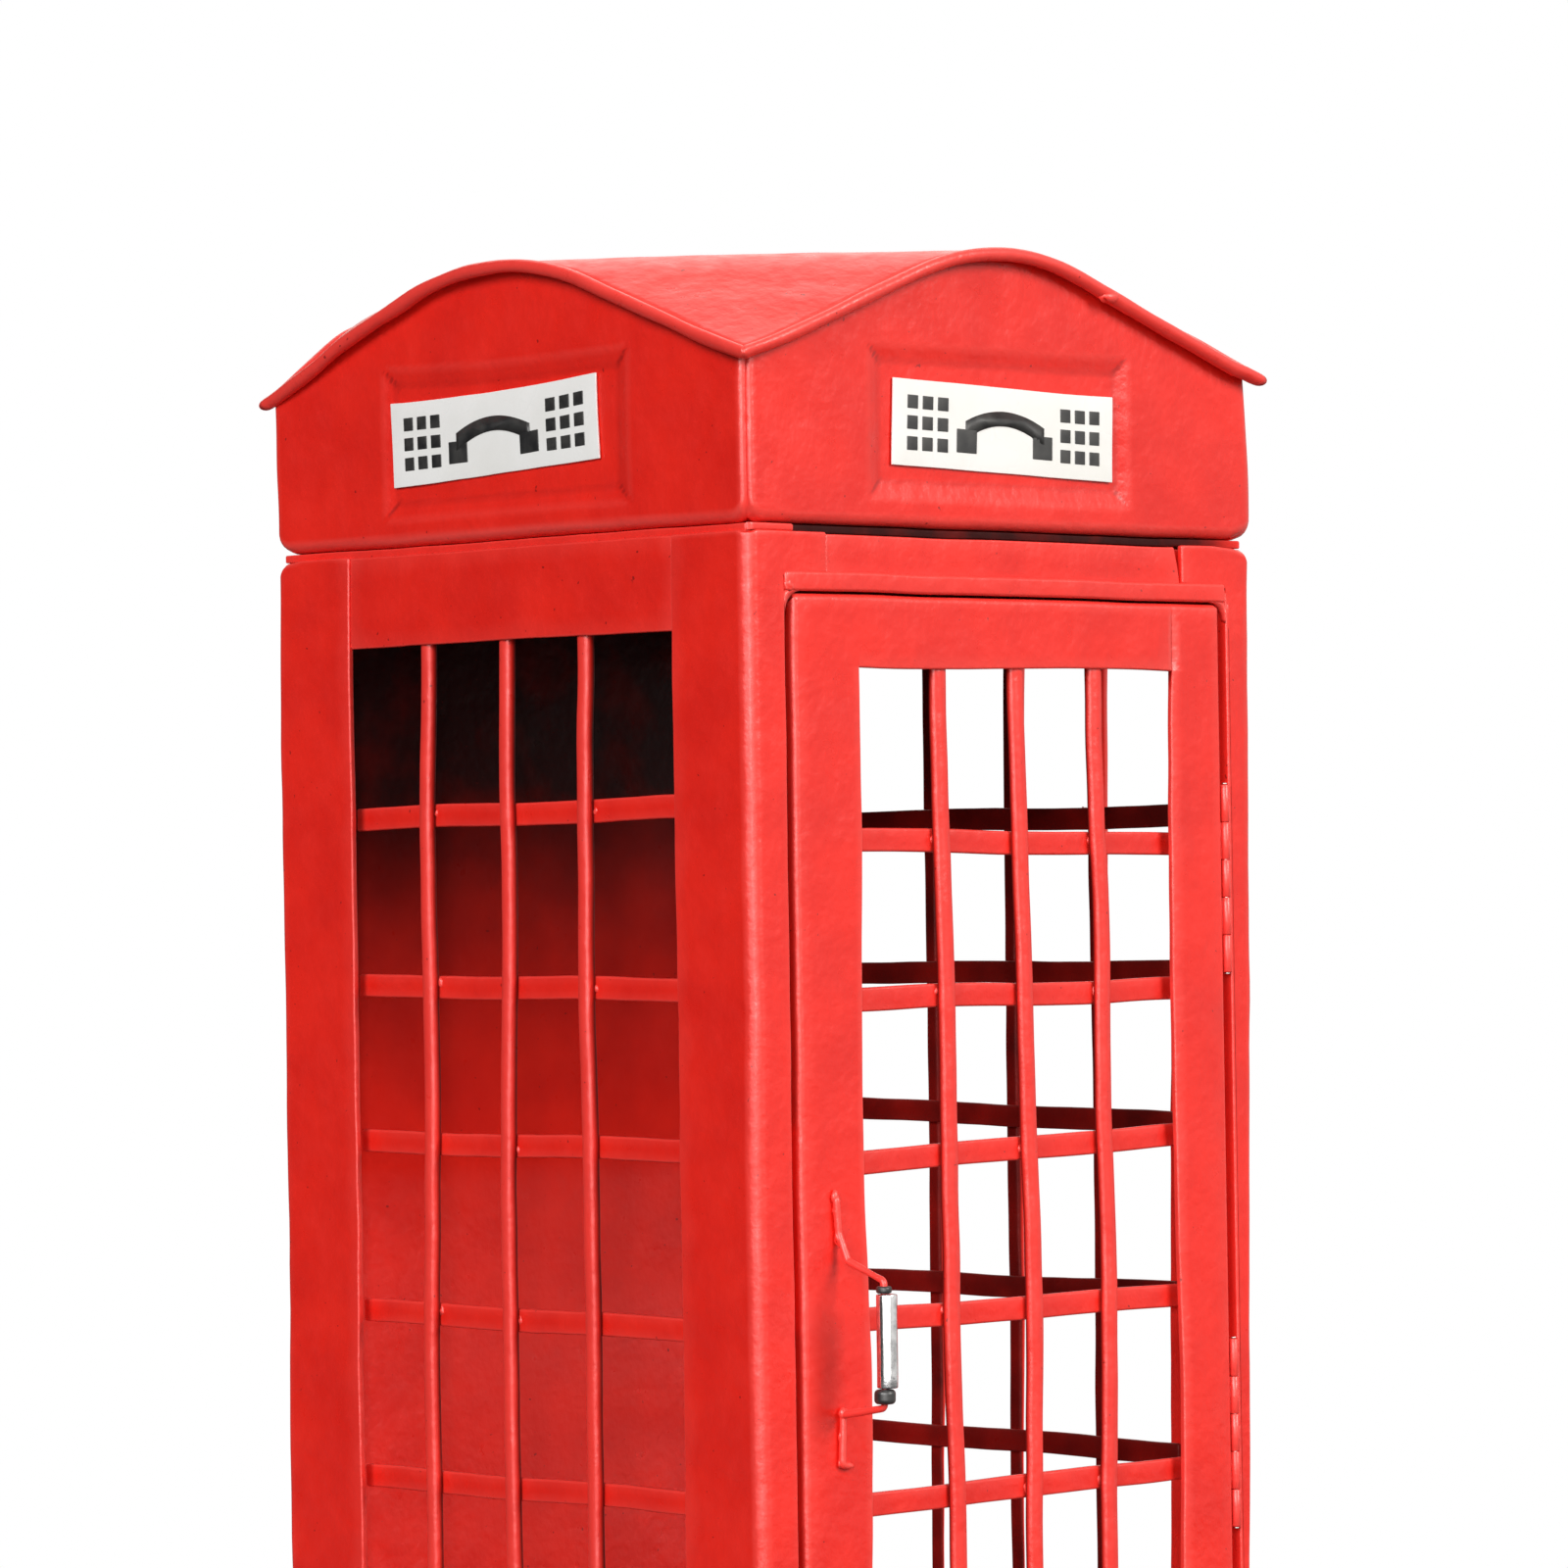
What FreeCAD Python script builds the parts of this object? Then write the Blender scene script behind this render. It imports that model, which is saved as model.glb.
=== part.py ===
import FreeCAD, Part
import math
import os
from FreeCAD import Vector

# Small sheet-steel model of a classic telephone booth, painted red.
# Millimetres. +Z is up and Z = 0 is the face the model stands on. The origin is the middle of the base.
# The door faces -Y, its hinges are on the +X side and its pull handle on the -X side.

# ---- driving dimensions: body ----
body_half = 60.0            # half the width and half the depth of the body
body_top = 284.0            # top of the corner posts
sheet = 1.2                 # painted sheet thickness
fold_radius = 2.5           # outer radius of the front left corner fold
tight_fold_radius = 1.3     # outer radius of the other three corner folds
post_width = 18.6           # width of a corner post's side and rear flanges
post_front_left = 8.3       # front flange beside the door, handle side
post_front_right = 4.2      # front flange beside the door, hinge side
post_head_left = 18.0       # front flange above the door, handle side
post_head_right = 15.1      # front flange above the door, hinge side
post_tip_radius = 3.0       # the posts' sharp top corners are rounded off
jamb_depth = 5.0            # return fold of the hinge-side post
header_recess = 0.4         # the headers sit this far behind the posts' faces
front_header_drop = 0.3     # the front header stops this far below the posts' tops
side_header_drop = 0.1
back_drop = 0.3
fitting_gap = 0.05          # clearance between sheets that are tacked together
tray_height = 8.0           # the floor plate's folded edges
tray_corner_radius = 2.0
jamb_gap = 1.0              # the jamb fold starts this far above the sill
cut_margin = 1.0            # how far cutting shapes reach past what they cut
smallest_fold = 0.05        # inner radius of a fold pressed sharp
wall = body_half - sheet    # inner face of the body's walls

# ---- driving dimensions: windows ----
side_window_bottom = 36.4
side_window_top = 268.1
crossbar_width = 4.0        # flat glazing strips
crossbar_thickness = 1.2
side_upright_width = 2.8
side_upright_thickness = 1.6
door_upright_width = 3.4
door_upright_thickness = 1.2
bar_lap = 2.5               # how far a strip laps behind the sheet it is welded to
left_upright_places = {"rear": 23.6, "middle": 3.2, "front": -17.1}
right_upright_places = {"rear": 15.9, "middle": -4.5, "front": -25.7}
left_crossbar_heights = [238.6, 208.8, 181.9, 152.2, 123.4, 94.5, 65.4]
right_crossbar_heights = [237.1, 209.3, 183.4, 152.3, 124.2, 95.5, 66.5]
door_upright_places = {"left": -13.6, "middle": 5.5, "right": 24.3}
door_crossbar_heights = [232.5, 206.5, 180.1, 153.0, 122.7, 94.6, 67.0]

# ---- driving dimensions: front and door ----
sill_height = 10.0
opening_top = 274.2
header_hem = 3.2            # folded lower edge of the front header
hem_proud = 0.3
opening_radius = 3.6        # rounded top corners of the doorway
door_left = -49.9
door_right = 54.2
door_bottom = 11.2
door_top = 273.4
door_flange = 5.0           # depth of the door's folded side edges
door_window_left = -34.8
door_window_right = 41.2
door_window_bottom = 39.4
door_window_top = 261.8
door_corner_radius = 2.3
door_fold = 1.15            # outer radius of the folds along the door's edges
jamb_fold = 0.95            # outer radius of the fold along the hinge-side jamb

# ---- driving dimensions: hinges ----
hinge_x = 55.0
hinge_y = -59.7
hinge_heights = {"top": 225.7, "middle": 128.5, "bottom": 45.0}
hinge_length = 33.0
knuckle_count = 5
knuckle_radius = 0.75
pin_radius = 0.4
pin_clearance = 0.05
pin_overhang = 0.3
knuckle_end_gap = 0.05      # axial gap at each end of a knuckle
leaf_shoulder = 0.15        # the leaves start this far behind the knuckles
hinge_leaf = 0.4            # thickness of a hinge leaf
hinge_leaf_depth = 4.5

# ---- driving dimensions: catch ----
catch_bottom = 151.7
catch_top = 185.9
catch_plate = 0.8
catch_offset = 0.1          # the plate stands this far past the post's edge
catch_reach = 8.8
catch_foot = 5.0
magnet_length = 18.0
magnet_width = 4.0
magnet_depth = 3.0
magnet_gap = 0.4

# ---- driving dimensions: handle ----
handle_x = -41.0
handle_standoff = 10.4      # distance of the grip's axis from the door's face
rod_radius = 0.6
rod_top = 174.6
rod_bottom = 128.9
upper_foot = 165.5          # height where the rod leaves the door
lower_foot = 138.9
grip_corner_top = 160.6
grip_corner_bottom = 139.2
rod_bend = 1.0
sleeve_radius = 1.75
sleeve_clearance = 0.08
sleeve_bottom = 142.8
sleeve_top = 158.2
collar_radius = 1.9
collar_gap = 0.15
top_collar_length = 1.2
bottom_collar_length = 2.4

# ---- driving dimensions: roof ----
cap_half = 60.0             # outer face of the fascia panels
roof_half = 63.0            # outer edge of the roof
edge_radius = 1.2           # rolled bead round the roof's edge
crown_top = 333.4           # top of the bead at the middle of each side
crown_radius = 58.0
crown_end = 21.5            # half the width of the round crown
slope_end = 48.0            # the straight slopes end here and flare out a little
flare_radius = 178.0
bead_proud = 0.4            # how far the bead stands above the roof sheet
roof_gap = 1.2              # thickness of the plate between the body and the roof
fascia_corner_radius = 3.2
fascia_hem = 5.0
seat_half = 53.0            # the flat plate between body and roof is set back from the walls
seat_inset = 0.1            # its corner ears stop this far inside the fascia
ear_length = 10.5
ear_width = 4.0
ear_radius = 2.0
recess_centre_z = 303.0
recess_width = 63.0
recess_height = 26.0
recess_depth = 0.8
recess_bevel = 3.0
sign_width = 53.4
sign_height = 14.6
sign_thickness = 0.3
# turn of each stuck-on sign about its own middle in degrees, its sideways place and its height
sign_places = {
    "front": (-1.5, 1.0, 302.4),
    "left": (2.4, -1.4, 303.9),
    "rear": (0.8, 0.6, 302.6),
    "right": (-0.6, -0.4, 303.0),
}

# ---- worked-out values ----
bead_line = roof_half - edge_radius
roof_reach = bead_line - edge_radius
roof_bottom = body_top + roof_gap
fascia_half = cap_half - sheet
sides = {"front": 0, "right": 90, "rear": 180, "left": 270}


def box(x0, x1, y0, y1, z0, z1):
    return Part.makeBox(x1 - x0, y1 - y0, z1 - z0, Vector(x0, y0, z0))


def turned(shape, degrees):
    """The shape turned about the vertical axis through the origin."""
    copy = shape.copy()
    copy.rotate(Vector(0, 0, 0), Vector(0, 0, 1), degrees)
    return copy


def mirrored_x(shape):
    return shape.mirror(Vector(0, 0, 0), Vector(1, 0, 0))


def mirrored_y(shape):
    return shape.mirror(Vector(0, 0, 0), Vector(0, 1, 0))


def joined(shapes):
    """One clean solid from shapes that touch or overlap."""
    return shapes[0].fuse(shapes[1:]).removeSplitter()


def arc(middle, radius, start, end, z):
    """Arc in a horizontal plane from start to end degrees."""
    points = []
    for turn in (start, (start + end) / 2, end):
        angle = math.radians(turn)
        points.append(Vector(middle[0] + radius * math.cos(angle), middle[1] + radius * math.sin(angle), z))
    return Part.Arc(*points).toShape()


def chain(points):
    """Straight edges along the points."""
    return [Part.makeLine(a, b) for a, b in zip(points, points[1:])]


def angle_bar(width_x, width_y, outer, z0, z1):
    """Folded angle with its fold at the front left corner of the body."""
    corner = -body_half
    inner = max(outer - sheet, smallest_fold)
    far_x = corner + width_x
    far_y = corner + width_y
    core = corner + sheet
    outer_arc = arc((corner + outer, corner + outer), outer, 180, 270, z0)
    inner_arc = arc((core + inner, core + inner), inner, 270, 180, z0)
    edges = [outer_arc]
    edges += chain([Vector(corner + outer, corner, z0), Vector(far_x, corner, z0),
                    Vector(far_x, core, z0), Vector(core + inner, core, z0)])
    edges.append(inner_arc)
    edges += chain([Vector(core, core + inner, z0), Vector(core, far_y, z0),
                    Vector(corner, far_y, z0), Vector(corner, corner + outer, z0)])
    return Part.Face(Part.Wire(edges)).extrude(Vector(0, 0, z1 - z0))


def tip_cutter(fold):
    """Rounds off the sharp top corner of the front left post, whose fold has the given radius."""
    reach = (body_half - fold) * math.sqrt(2) + fold
    radius = post_tip_radius
    half = 2 * post_width
    block = box(-reach - cut_margin, -reach + radius, -half, half, body_top - radius, body_top + cut_margin)
    axis_start = Vector(-reach + radius, -half, body_top - radius)
    round_part = Part.makeCylinder(radius, 2 * half, axis_start, Vector(0, 1, 0))
    return turned(block.cut(round_part), 45)


def corner_posts():
    """Four folded angle posts. The front pair is narrow beside the door and wide above it."""
    head = opening_top + header_hem
    tight_tip = tip_cutter(tight_fold_radius)
    rear = angle_bar(post_width, post_width, tight_fold_radius, 0, body_top).cut(tight_tip)
    left_low = angle_bar(post_front_left, post_width, fold_radius, 0, head)
    left_head = angle_bar(post_head_left, post_width, fold_radius, head, body_top)
    front_left = joined([left_low, left_head]).cut(tip_cutter(fold_radius))
    right_low = angle_bar(post_front_right, post_width, tight_fold_radius, 0, head)
    right_head = angle_bar(post_head_right, post_width, tight_fold_radius, head, body_top)
    fold_edge = nearest_edge(right_low, Vector(-body_half + post_front_right, -body_half, head / 2))
    right_low = right_low.makeFillet(jamb_fold, [fold_edge])
    front_right = joined([right_low, right_head]).cut(tight_tip)
    return {
        "corner_post_front_left": front_left,
        "corner_post_front_right": mirrored_x(front_right),
        "corner_post_rear_left": mirrored_y(rear),
        "corner_post_rear_right": turned(rear, 180),
    }


def door_jamb():
    """Return fold of the hinge-side post, which the hinges' frame leaves lie against."""
    edge = body_half - post_front_right
    return box(edge, edge + sheet, -wall, -body_half + jamb_depth, sill_height + jamb_gap, opening_top)


def nearest_edge(shape, point):
    """The edge of the shape that passes nearest to the point."""
    best = None
    for edge in shape.Edges:
        distance = edge.distToShape(Part.Vertex(point))[0]
        if best is None or distance < best[0]:
            best = (distance, edge)
    return best[1]


def front_header():
    """Strip above the door: a recessed plate over a folded hem with the doorway's rounded corners."""
    left = -body_half + post_front_left
    right = body_half - post_front_right
    head = opening_top + header_hem
    face = -body_half + header_recess
    hem = box(left, right, -body_half - hem_proud, face + sheet, opening_top, head)
    plate = box(-body_half + post_head_left, body_half - post_head_right,
                face, face + sheet, head, body_top - front_header_drop)
    parts = [hem, plate]
    for end, toward in ((left, 1), (right, -1)):
        centre = end + toward * opening_radius
        low = opening_top - opening_radius
        gusset = box(min(end, centre), max(end, centre), -body_half, -body_half + sheet, low, opening_top)
        start = Vector(centre, -body_half - sheet, low)
        parts.append(gusset.cut(Part.makeCylinder(opening_radius, 3 * sheet, start, Vector(0, 1, 0))))
    return joined(parts)


def body_sheets():
    """Headers, lower panels, sill, back and floor between the posts."""
    inner = body_half - post_width
    face = -body_half + header_recess
    side_header = box(face, face + sheet, -inner, inner, side_window_top, body_top - side_header_drop)
    side_panel = box(face, face + sheet, -inner, inner, 0, side_window_bottom)
    sill = box(-body_half + post_front_left, body_half - post_front_right,
               -body_half, -body_half + sheet, 0, sill_height)
    back_reach = wall - (fold_radius - sheet)
    back = box(-back_reach, back_reach, wall - sheet, wall, 0, body_top - back_drop)
    return {
        "door_jamb": door_jamb(),
        "header_front": front_header(),
        "header_left": side_header,
        "header_right": mirrored_x(side_header),
        "lower_panel_left": side_panel,
        "lower_panel_right": mirrored_x(side_panel),
        "door_sill": sill,
        "back_panel": back,
        "floor_tray": floor_tray(),
    }


def floor_tray():
    """Floor plate with its four edges folded up inside the walls."""
    reach = wall - header_recess - fitting_gap
    front = -wall + fitting_gap
    rear = wall - sheet - fitting_gap
    block = box(-reach, reach, front, rear, 0, tray_height)
    upright = [edge for edge in block.Edges if abs(edge.Vertexes[0].Z - edge.Vertexes[1].Z) > 1]
    block = block.makeFillet(tray_corner_radius, upright)
    hollow = box(-reach + sheet, reach - sheet, front + sheet, rear - sheet, sheet, tray_height + 1)
    return block.cut(hollow)


def side_window(upright_places, crossbar_heights):
    """Three uprights and seven crossbars behind the left wall."""
    outer = -wall + header_recess
    middle = outer + side_upright_thickness
    low = side_window_bottom - bar_lap
    high = side_window_top + bar_lap
    reach = body_half - post_width + bar_lap
    half = side_upright_width / 2
    uprights = {}
    for name, place in upright_places.items():
        uprights[name] = box(outer, middle, place - half, place + half, low, high)
    crossbars = []
    for height in crossbar_heights:
        crossbars.append(box(middle, middle + crossbar_thickness, -reach, reach,
                             height - crossbar_width / 2, height + crossbar_width / 2))
    return uprights, crossbars


def side_windows():
    shapes = {}
    uprights, crossbars = side_window(left_upright_places, left_crossbar_heights)
    for name, bar in uprights.items():
        shapes["left_upright_" + name] = bar
    shapes["left_crossbars"] = Part.makeCompound(crossbars)
    uprights, crossbars = side_window(right_upright_places, right_crossbar_heights)
    for name, bar in uprights.items():
        shapes["right_upright_" + name] = mirrored_x(bar)
    shapes["right_crossbars"] = Part.makeCompound([mirrored_x(bar) for bar in crossbars])
    return shapes


def door_corner_cutter(x, toward):
    """Rounds off a top corner of the door; toward is the way to the door's middle along X."""
    radius = door_corner_radius
    centre = x + toward * radius
    outside = x - toward
    front = -body_half - cut_margin
    depth = door_flange + 2 * cut_margin
    block = box(min(outside, centre), max(outside, centre), front, front + depth,
                door_top - radius, door_top + cut_margin)
    start = Vector(centre, front, door_top - radius)
    return block.cut(Part.makeCylinder(radius, depth, start, Vector(0, 1, 0)))


def door_stile(x_edge, x_window, toward):
    """Upright strip of the door and the folded edge behind it."""
    front = -body_half
    plate = box(min(x_edge, x_window), max(x_edge, x_window), front, -wall, door_bottom, door_top)
    fold = nearest_edge(plate, Vector(x_edge, front, (door_bottom + door_top) / 2))
    plate = plate.makeFillet(door_fold, [fold])
    inside = x_edge + toward * sheet
    flange = box(min(x_edge, inside), max(x_edge, inside), -wall, front + door_flange, door_bottom, door_top)
    cutter = door_corner_cutter(x_edge, toward)
    return plate.cut(cutter), flange.cut(cutter)


def door_sheets():
    left = door_window_left
    right = door_window_right
    front = -body_half
    folded = front + door_flange
    top_rail = box(left, right, front, front + sheet, door_window_top, door_top)
    top_fold = box(left, right, front, folded, door_top - sheet, door_top)
    bottom_panel = box(left, right, front, front + sheet, door_bottom, door_window_bottom)
    bottom_fold = box(left, right, front, folded, door_bottom, door_bottom + sheet)
    stile_left, edge_left = door_stile(door_left, door_window_left, 1)
    stile_right, edge_right = door_stile(door_right, door_window_right, -1)
    return {
        "door_stile_left": stile_left,
        "door_stile_right": stile_right,
        "door_edge_left": edge_left,
        "door_edge_right": edge_right,
        "door_top_rail": joined([top_rail, top_fold]),
        "door_bottom_panel": joined([bottom_panel, bottom_fold]),
    }


def door_window():
    """Three uprights behind the door's sheets, and seven crossbars behind the uprights."""
    outer = -wall
    middle = outer + door_upright_thickness
    low = door_window_bottom - bar_lap
    high = door_window_top + bar_lap
    half = door_upright_width / 2
    shapes = {}
    for name, place in door_upright_places.items():
        shapes["door_upright_" + name] = box(place - half, place + half, outer, middle, low, high)
    bars = []
    for height in door_crossbar_heights:
        bars.append(box(door_window_left - bar_lap, door_window_right + bar_lap,
                        middle, middle + crossbar_thickness,
                        height - crossbar_width / 2, height + crossbar_width / 2))
    shapes["door_crossbars"] = Part.makeCompound(bars)
    return shapes


def hinge_leaf_shape(side, first_knuckle, bore, centre_z):
    """One leaf of a butt hinge: a plate in the door gap with rolled knuckles. side is +1 at the frame."""
    pitch = hinge_length / knuckle_count
    bottom = centre_z - hinge_length / 2
    top = bottom + hinge_length
    outer = hinge_x + side * knuckle_radius
    inner = outer - side * hinge_leaf
    x0 = min(outer, inner)
    x1 = max(outer, inner)
    shoulder = hinge_y + knuckle_radius + leaf_shoulder
    parts = [box(x0, x1, shoulder, hinge_y + hinge_leaf_depth, bottom, top)]
    for index in range(first_knuckle, knuckle_count, 2):
        z0 = bottom + index * pitch + knuckle_end_gap
        z1 = bottom + (index + 1) * pitch - knuckle_end_gap
        parts.append(box(x0, x1, hinge_y, shoulder, z0, z1))
        parts.append(Part.makeCylinder(knuckle_radius, z1 - z0, Vector(hinge_x, hinge_y, z0)))
    return joined(parts).cut(Part.makeCylinder(bore, top - bottom, Vector(hinge_x, hinge_y, bottom)))


def hinges():
    shapes = {}
    for name, height in hinge_heights.items():
        shapes["hinge_frame_leaf_" + name] = hinge_leaf_shape(1, 0, pin_radius, height)
        shapes["hinge_door_leaf_" + name] = hinge_leaf_shape(-1, 1, pin_radius + pin_clearance, height)
        bottom = height - hinge_length / 2 - pin_overhang
        pin = Part.makeCylinder(pin_radius, hinge_length + 2 * pin_overhang, Vector(hinge_x, hinge_y, bottom))
        shapes["hinge_pin_" + name] = pin
    return shapes


def catch():
    """Angle bracket inside the handle-side post, and the magnet that holds the door shut."""
    edge = -body_half + post_front_left
    plate_start = edge + catch_offset
    plate_end = plate_start + catch_plate
    plate = box(plate_start, plate_end, -wall + fitting_gap, -wall + catch_reach, catch_bottom, catch_top)
    foot = box(edge - catch_foot, plate_start, -wall, -wall + catch_plate, catch_bottom, catch_top)
    magnet_y = -body_half + door_flange + magnet_gap
    middle = (catch_bottom + catch_top) / 2
    magnet = box(plate_end, plate_end + magnet_width, magnet_y, magnet_y + magnet_depth,
                 middle - magnet_length / 2, middle + magnet_length / 2)
    return {"catch_bracket": joined([plate, foot]), "catch_magnet": magnet}


def rounded_path(points, radius):
    """Wire through the points with an arc of the given radius at each inner point."""
    edges = []
    start = points[0]
    for before, corner, after in zip(points, points[1:], points[2:]):
        inward = (before - corner).normalize()
        outward = (after - corner).normalize()
        half_turn = (math.pi - inward.getAngle(outward)) / 2
        setback = radius * math.tan(half_turn)
        first = corner + inward * setback
        last = corner + outward * setback
        bisector = (inward + outward).normalize()
        to_centre = radius / math.cos(half_turn)
        middle = corner + bisector * (to_centre - radius)
        edges.append(Part.makeLine(start, first))
        edges.append(Part.Arc(first, middle, last).toShape())
        start = last
    edges.append(Part.makeLine(start, points[-1]))
    return Part.Wire(edges)


def handle():
    """Bent wire pull with a loose tube for a grip between two end rings."""
    door_y = -body_half - rod_radius
    grip_y = -body_half - handle_standoff
    points = [
        Vector(handle_x, door_y, rod_top),
        Vector(handle_x, door_y, upper_foot),
        Vector(handle_x, grip_y, grip_corner_top),
        Vector(handle_x, grip_y, grip_corner_bottom),
        Vector(handle_x, door_y, lower_foot),
        Vector(handle_x, door_y, rod_bottom),
    ]
    path = rounded_path(points, rod_bend)
    section = Part.Wire([Part.makeCircle(rod_radius, points[0], Vector(0, 0, -1))])
    rod = path.makePipeShell([section], True, False)

    def ring(outer, bore, z0, z1):
        tube = Part.makeCylinder(outer, z1 - z0, Vector(handle_x, grip_y, z0))
        return tube.cut(Part.makeCylinder(bore, z1 - z0, Vector(handle_x, grip_y, z0)))

    sleeve = ring(sleeve_radius, rod_radius + sleeve_clearance, sleeve_bottom, sleeve_top)
    low_end = sleeve_bottom - collar_gap
    high_start = sleeve_top + collar_gap
    return {
        "handle_rod": rod,
        "grip_sleeve": sleeve,
        "grip_ring_top": ring(collar_radius, rod_radius, high_start, high_start + top_collar_length),
        "grip_ring_bottom": ring(collar_radius, rod_radius, low_end - bottom_collar_length, low_end),
    }


def arch_drop(u):
    """How far the roof line lies below the crown at a distance u from the middle of a side."""
    if u <= 0:
        return 0.0
    if u <= crown_end:
        return crown_radius - math.sqrt(crown_radius ** 2 - u ** 2)
    pitch = math.asin(crown_end / crown_radius)
    at_crown_end = crown_radius * (1 - math.cos(pitch))
    if u <= slope_end:
        return at_crown_end + math.tan(pitch) * (u - crown_end)
    at_slope_end = at_crown_end + math.tan(pitch) * (slope_end - crown_end)
    centre_u = slope_end + flare_radius * math.sin(pitch)
    centre_drop = at_slope_end - flare_radius * math.cos(pitch)
    return centre_drop + math.sqrt(flare_radius ** 2 - (u - centre_u) ** 2)


def arch_half(y, shift, lowered, end):
    """Edges of the roof line from the middle to x = end, in the plane y."""
    def point(u):
        return Vector(u + shift, y, crown_top - lowered - arch_drop(u))

    edges = []
    if shift > 0:
        edges.append(Part.makeLine(Vector(0, y, crown_top - lowered), point(0)))
    last = end - shift
    edges.append(Part.Arc(point(0), point(crown_end / 2), point(crown_end)).toShape())
    edges.append(Part.makeLine(point(crown_end), point(slope_end)))
    edges.append(Part.Arc(point(slope_end), point((slope_end + last) / 2), point(last)).toShape())
    return edges


def arch_whole(y, shift, lowered, end):
    """The roof line from x = -end to x = end as a list of edges in order."""
    right = arch_half(y, shift, lowered, end)
    left = [mirrored_x(edge) for edge in right]
    return list(reversed(left)) + right


def region_below(edges, y, end, floor):
    """Flat face between the roof line and a level floor."""
    start_z = crown_top
    for edge in edges:
        for vertex in edge.Vertexes:
            if abs(vertex.X - end) < 1e-6:
                start_z = vertex.Z
    low = [Vector(end, y, start_z), Vector(end, y, floor), Vector(-end, y, floor), Vector(-end, y, start_z)]
    return Part.Face(Part.Wire(Part.__sortEdges__(edges + chain(low))))


def recess_frustum(y):
    """Shape pressed into a fascia for its sign."""
    def rectangle(width, height, depth):
        x = width / 2
        z = height / 2
        corners = [(-x, -z), (x, -z), (x, z), (-x, z), (-x, -z)]
        return Part.Wire(chain([Vector(cx, y + depth, recess_centre_z + cz) for cx, cz in corners]))

    outer = rectangle(recess_width, recess_height, 0)
    inner = rectangle(recess_width - 2 * recess_bevel, recess_height - 2 * recess_bevel, recess_depth)
    return Part.makeLoft([outer, inner], True, True)


def fascia():
    """Front fascia panel: arched top, rounded lower corners, folded lower edge, pressed sign recess."""
    face = -cap_half
    lowered = bead_proud + sheet + fitting_gap
    shift = roof_reach - cap_half
    edges = arch_whole(face, shift, lowered, fascia_half)
    plate = region_below(edges, face, fascia_half, roof_bottom).extrude(Vector(0, sheet, 0))
    lower_corners = [edge for edge in plate.Edges
                     if abs(edge.Vertexes[0].Z - roof_bottom) < 1e-6
                     and abs(edge.Vertexes[0].Z - edge.Vertexes[-1].Z) < 1e-6
                     and edge.Length < 2 * sheet]
    plate = plate.makeFillet(fascia_corner_radius, lower_corners)
    reach = fascia_half - fascia_hem
    hem = box(-reach, reach, face, face + fascia_hem, roof_bottom, roof_bottom + sheet)
    press = recess_frustum(face)
    bulge = press.copy()
    bulge.translate(Vector(0, sheet, 0))
    return joined([plate, hem, bulge]).cut(press)


def sign(tilt, middle, height):
    """Plain sign plate lying in the front fascia's recess."""
    y = -cap_half + recess_depth - sign_thickness
    plate = box(middle - sign_width / 2, middle + sign_width / 2, y, y + sign_thickness,
                height - sign_height / 2, height + sign_height / 2)
    plate.rotate(Vector(middle, y, height), Vector(0, -1, 0), tilt)
    return plate


def roof_sheet():
    """Square sheet, level in the middle, with its four corners bent down."""
    reach = roof_reach
    end = reach + cut_margin
    top_line = arch_half(-reach, 0, bead_proud, end)
    under_line = arch_half(-reach, 0, bead_proud + sheet, end)
    end_top = top_line[-1].Vertexes[-1].Point
    end_under = under_line[-1].Vertexes[-1].Point
    start_top = Vector(0, -reach, crown_top - bead_proud)
    start_under = Vector(0, -reach, crown_top - bead_proud - sheet)
    closing = [Part.makeLine(end_top, end_under), Part.makeLine(start_top, start_under)]
    profile = Part.Face(Part.Wire(Part.__sortEdges__(top_line + under_line + closing)))
    bend = profile.extrude(Vector(end, end, 0))
    bend = bend.common(box(0, reach, -reach, 0, body_top, crown_top))
    level = start_under.z
    corners = [Vector(reach, 0, level), Vector(0, reach, level), Vector(-reach, 0, level),
               Vector(0, -reach, level), Vector(reach, 0, level)]
    middle = Part.Face(Part.Wire(chain(corners))).extrude(Vector(0, 0, sheet))
    return joined([middle] + [turned(bend, quarter * 90) for quarter in range(4)])


def roof_edge():
    """Rolled bead along the front edge of the roof, mitred at both ends."""
    end = roof_half + 2 * cut_margin
    lowered = edge_radius
    edges = arch_whole(-bead_line, 0, lowered, end)
    path = Part.Wire(Part.__sortEdges__(edges))
    start = Vector(-end, -bead_line, crown_top - lowered - arch_drop(end))
    flare = (arch_drop(end) - arch_drop(end - 0.01)) / 0.01
    section = Part.Wire([Part.makeCircle(edge_radius, start, Vector(1, 0, flare))])
    bead = path.makePipeShell([section], True, False)
    far = 2 * roof_half
    apex = Vector(0, 0, body_top)
    wedge = [apex, Vector(-far, -far, body_top), Vector(far, -far, body_top), apex]
    mitre = Part.Face(Part.Wire(chain(wedge))).extrude(Vector(0, 0, crown_top))
    return bead.common(mitre)


def roof_seat():
    """Flat plate that closes the body and carries the roof, with an ear at each corner."""
    plate = box(-seat_half, seat_half, -seat_half, seat_half, body_top, roof_bottom)
    outer = -cap_half + seat_inset
    inner = -seat_half + ear_width
    long_leg = box(outer, outer + ear_length, outer, outer + ear_width, body_top, roof_bottom)
    short_leg = box(outer, outer + ear_width, outer, outer + ear_length, body_top, roof_bottom)
    web = box(outer + ear_width / 2, inner, outer + ear_width / 2, inner, body_top, roof_bottom)
    corner = joined([long_leg, short_leg, web])
    tip = nearest_edge(corner, Vector(outer, outer, (body_top + roof_bottom) / 2))
    corner = corner.makeFillet(ear_radius, [tip])
    return joined([plate] + [turned(corner, quarter * 90) for quarter in range(4)])


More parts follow.
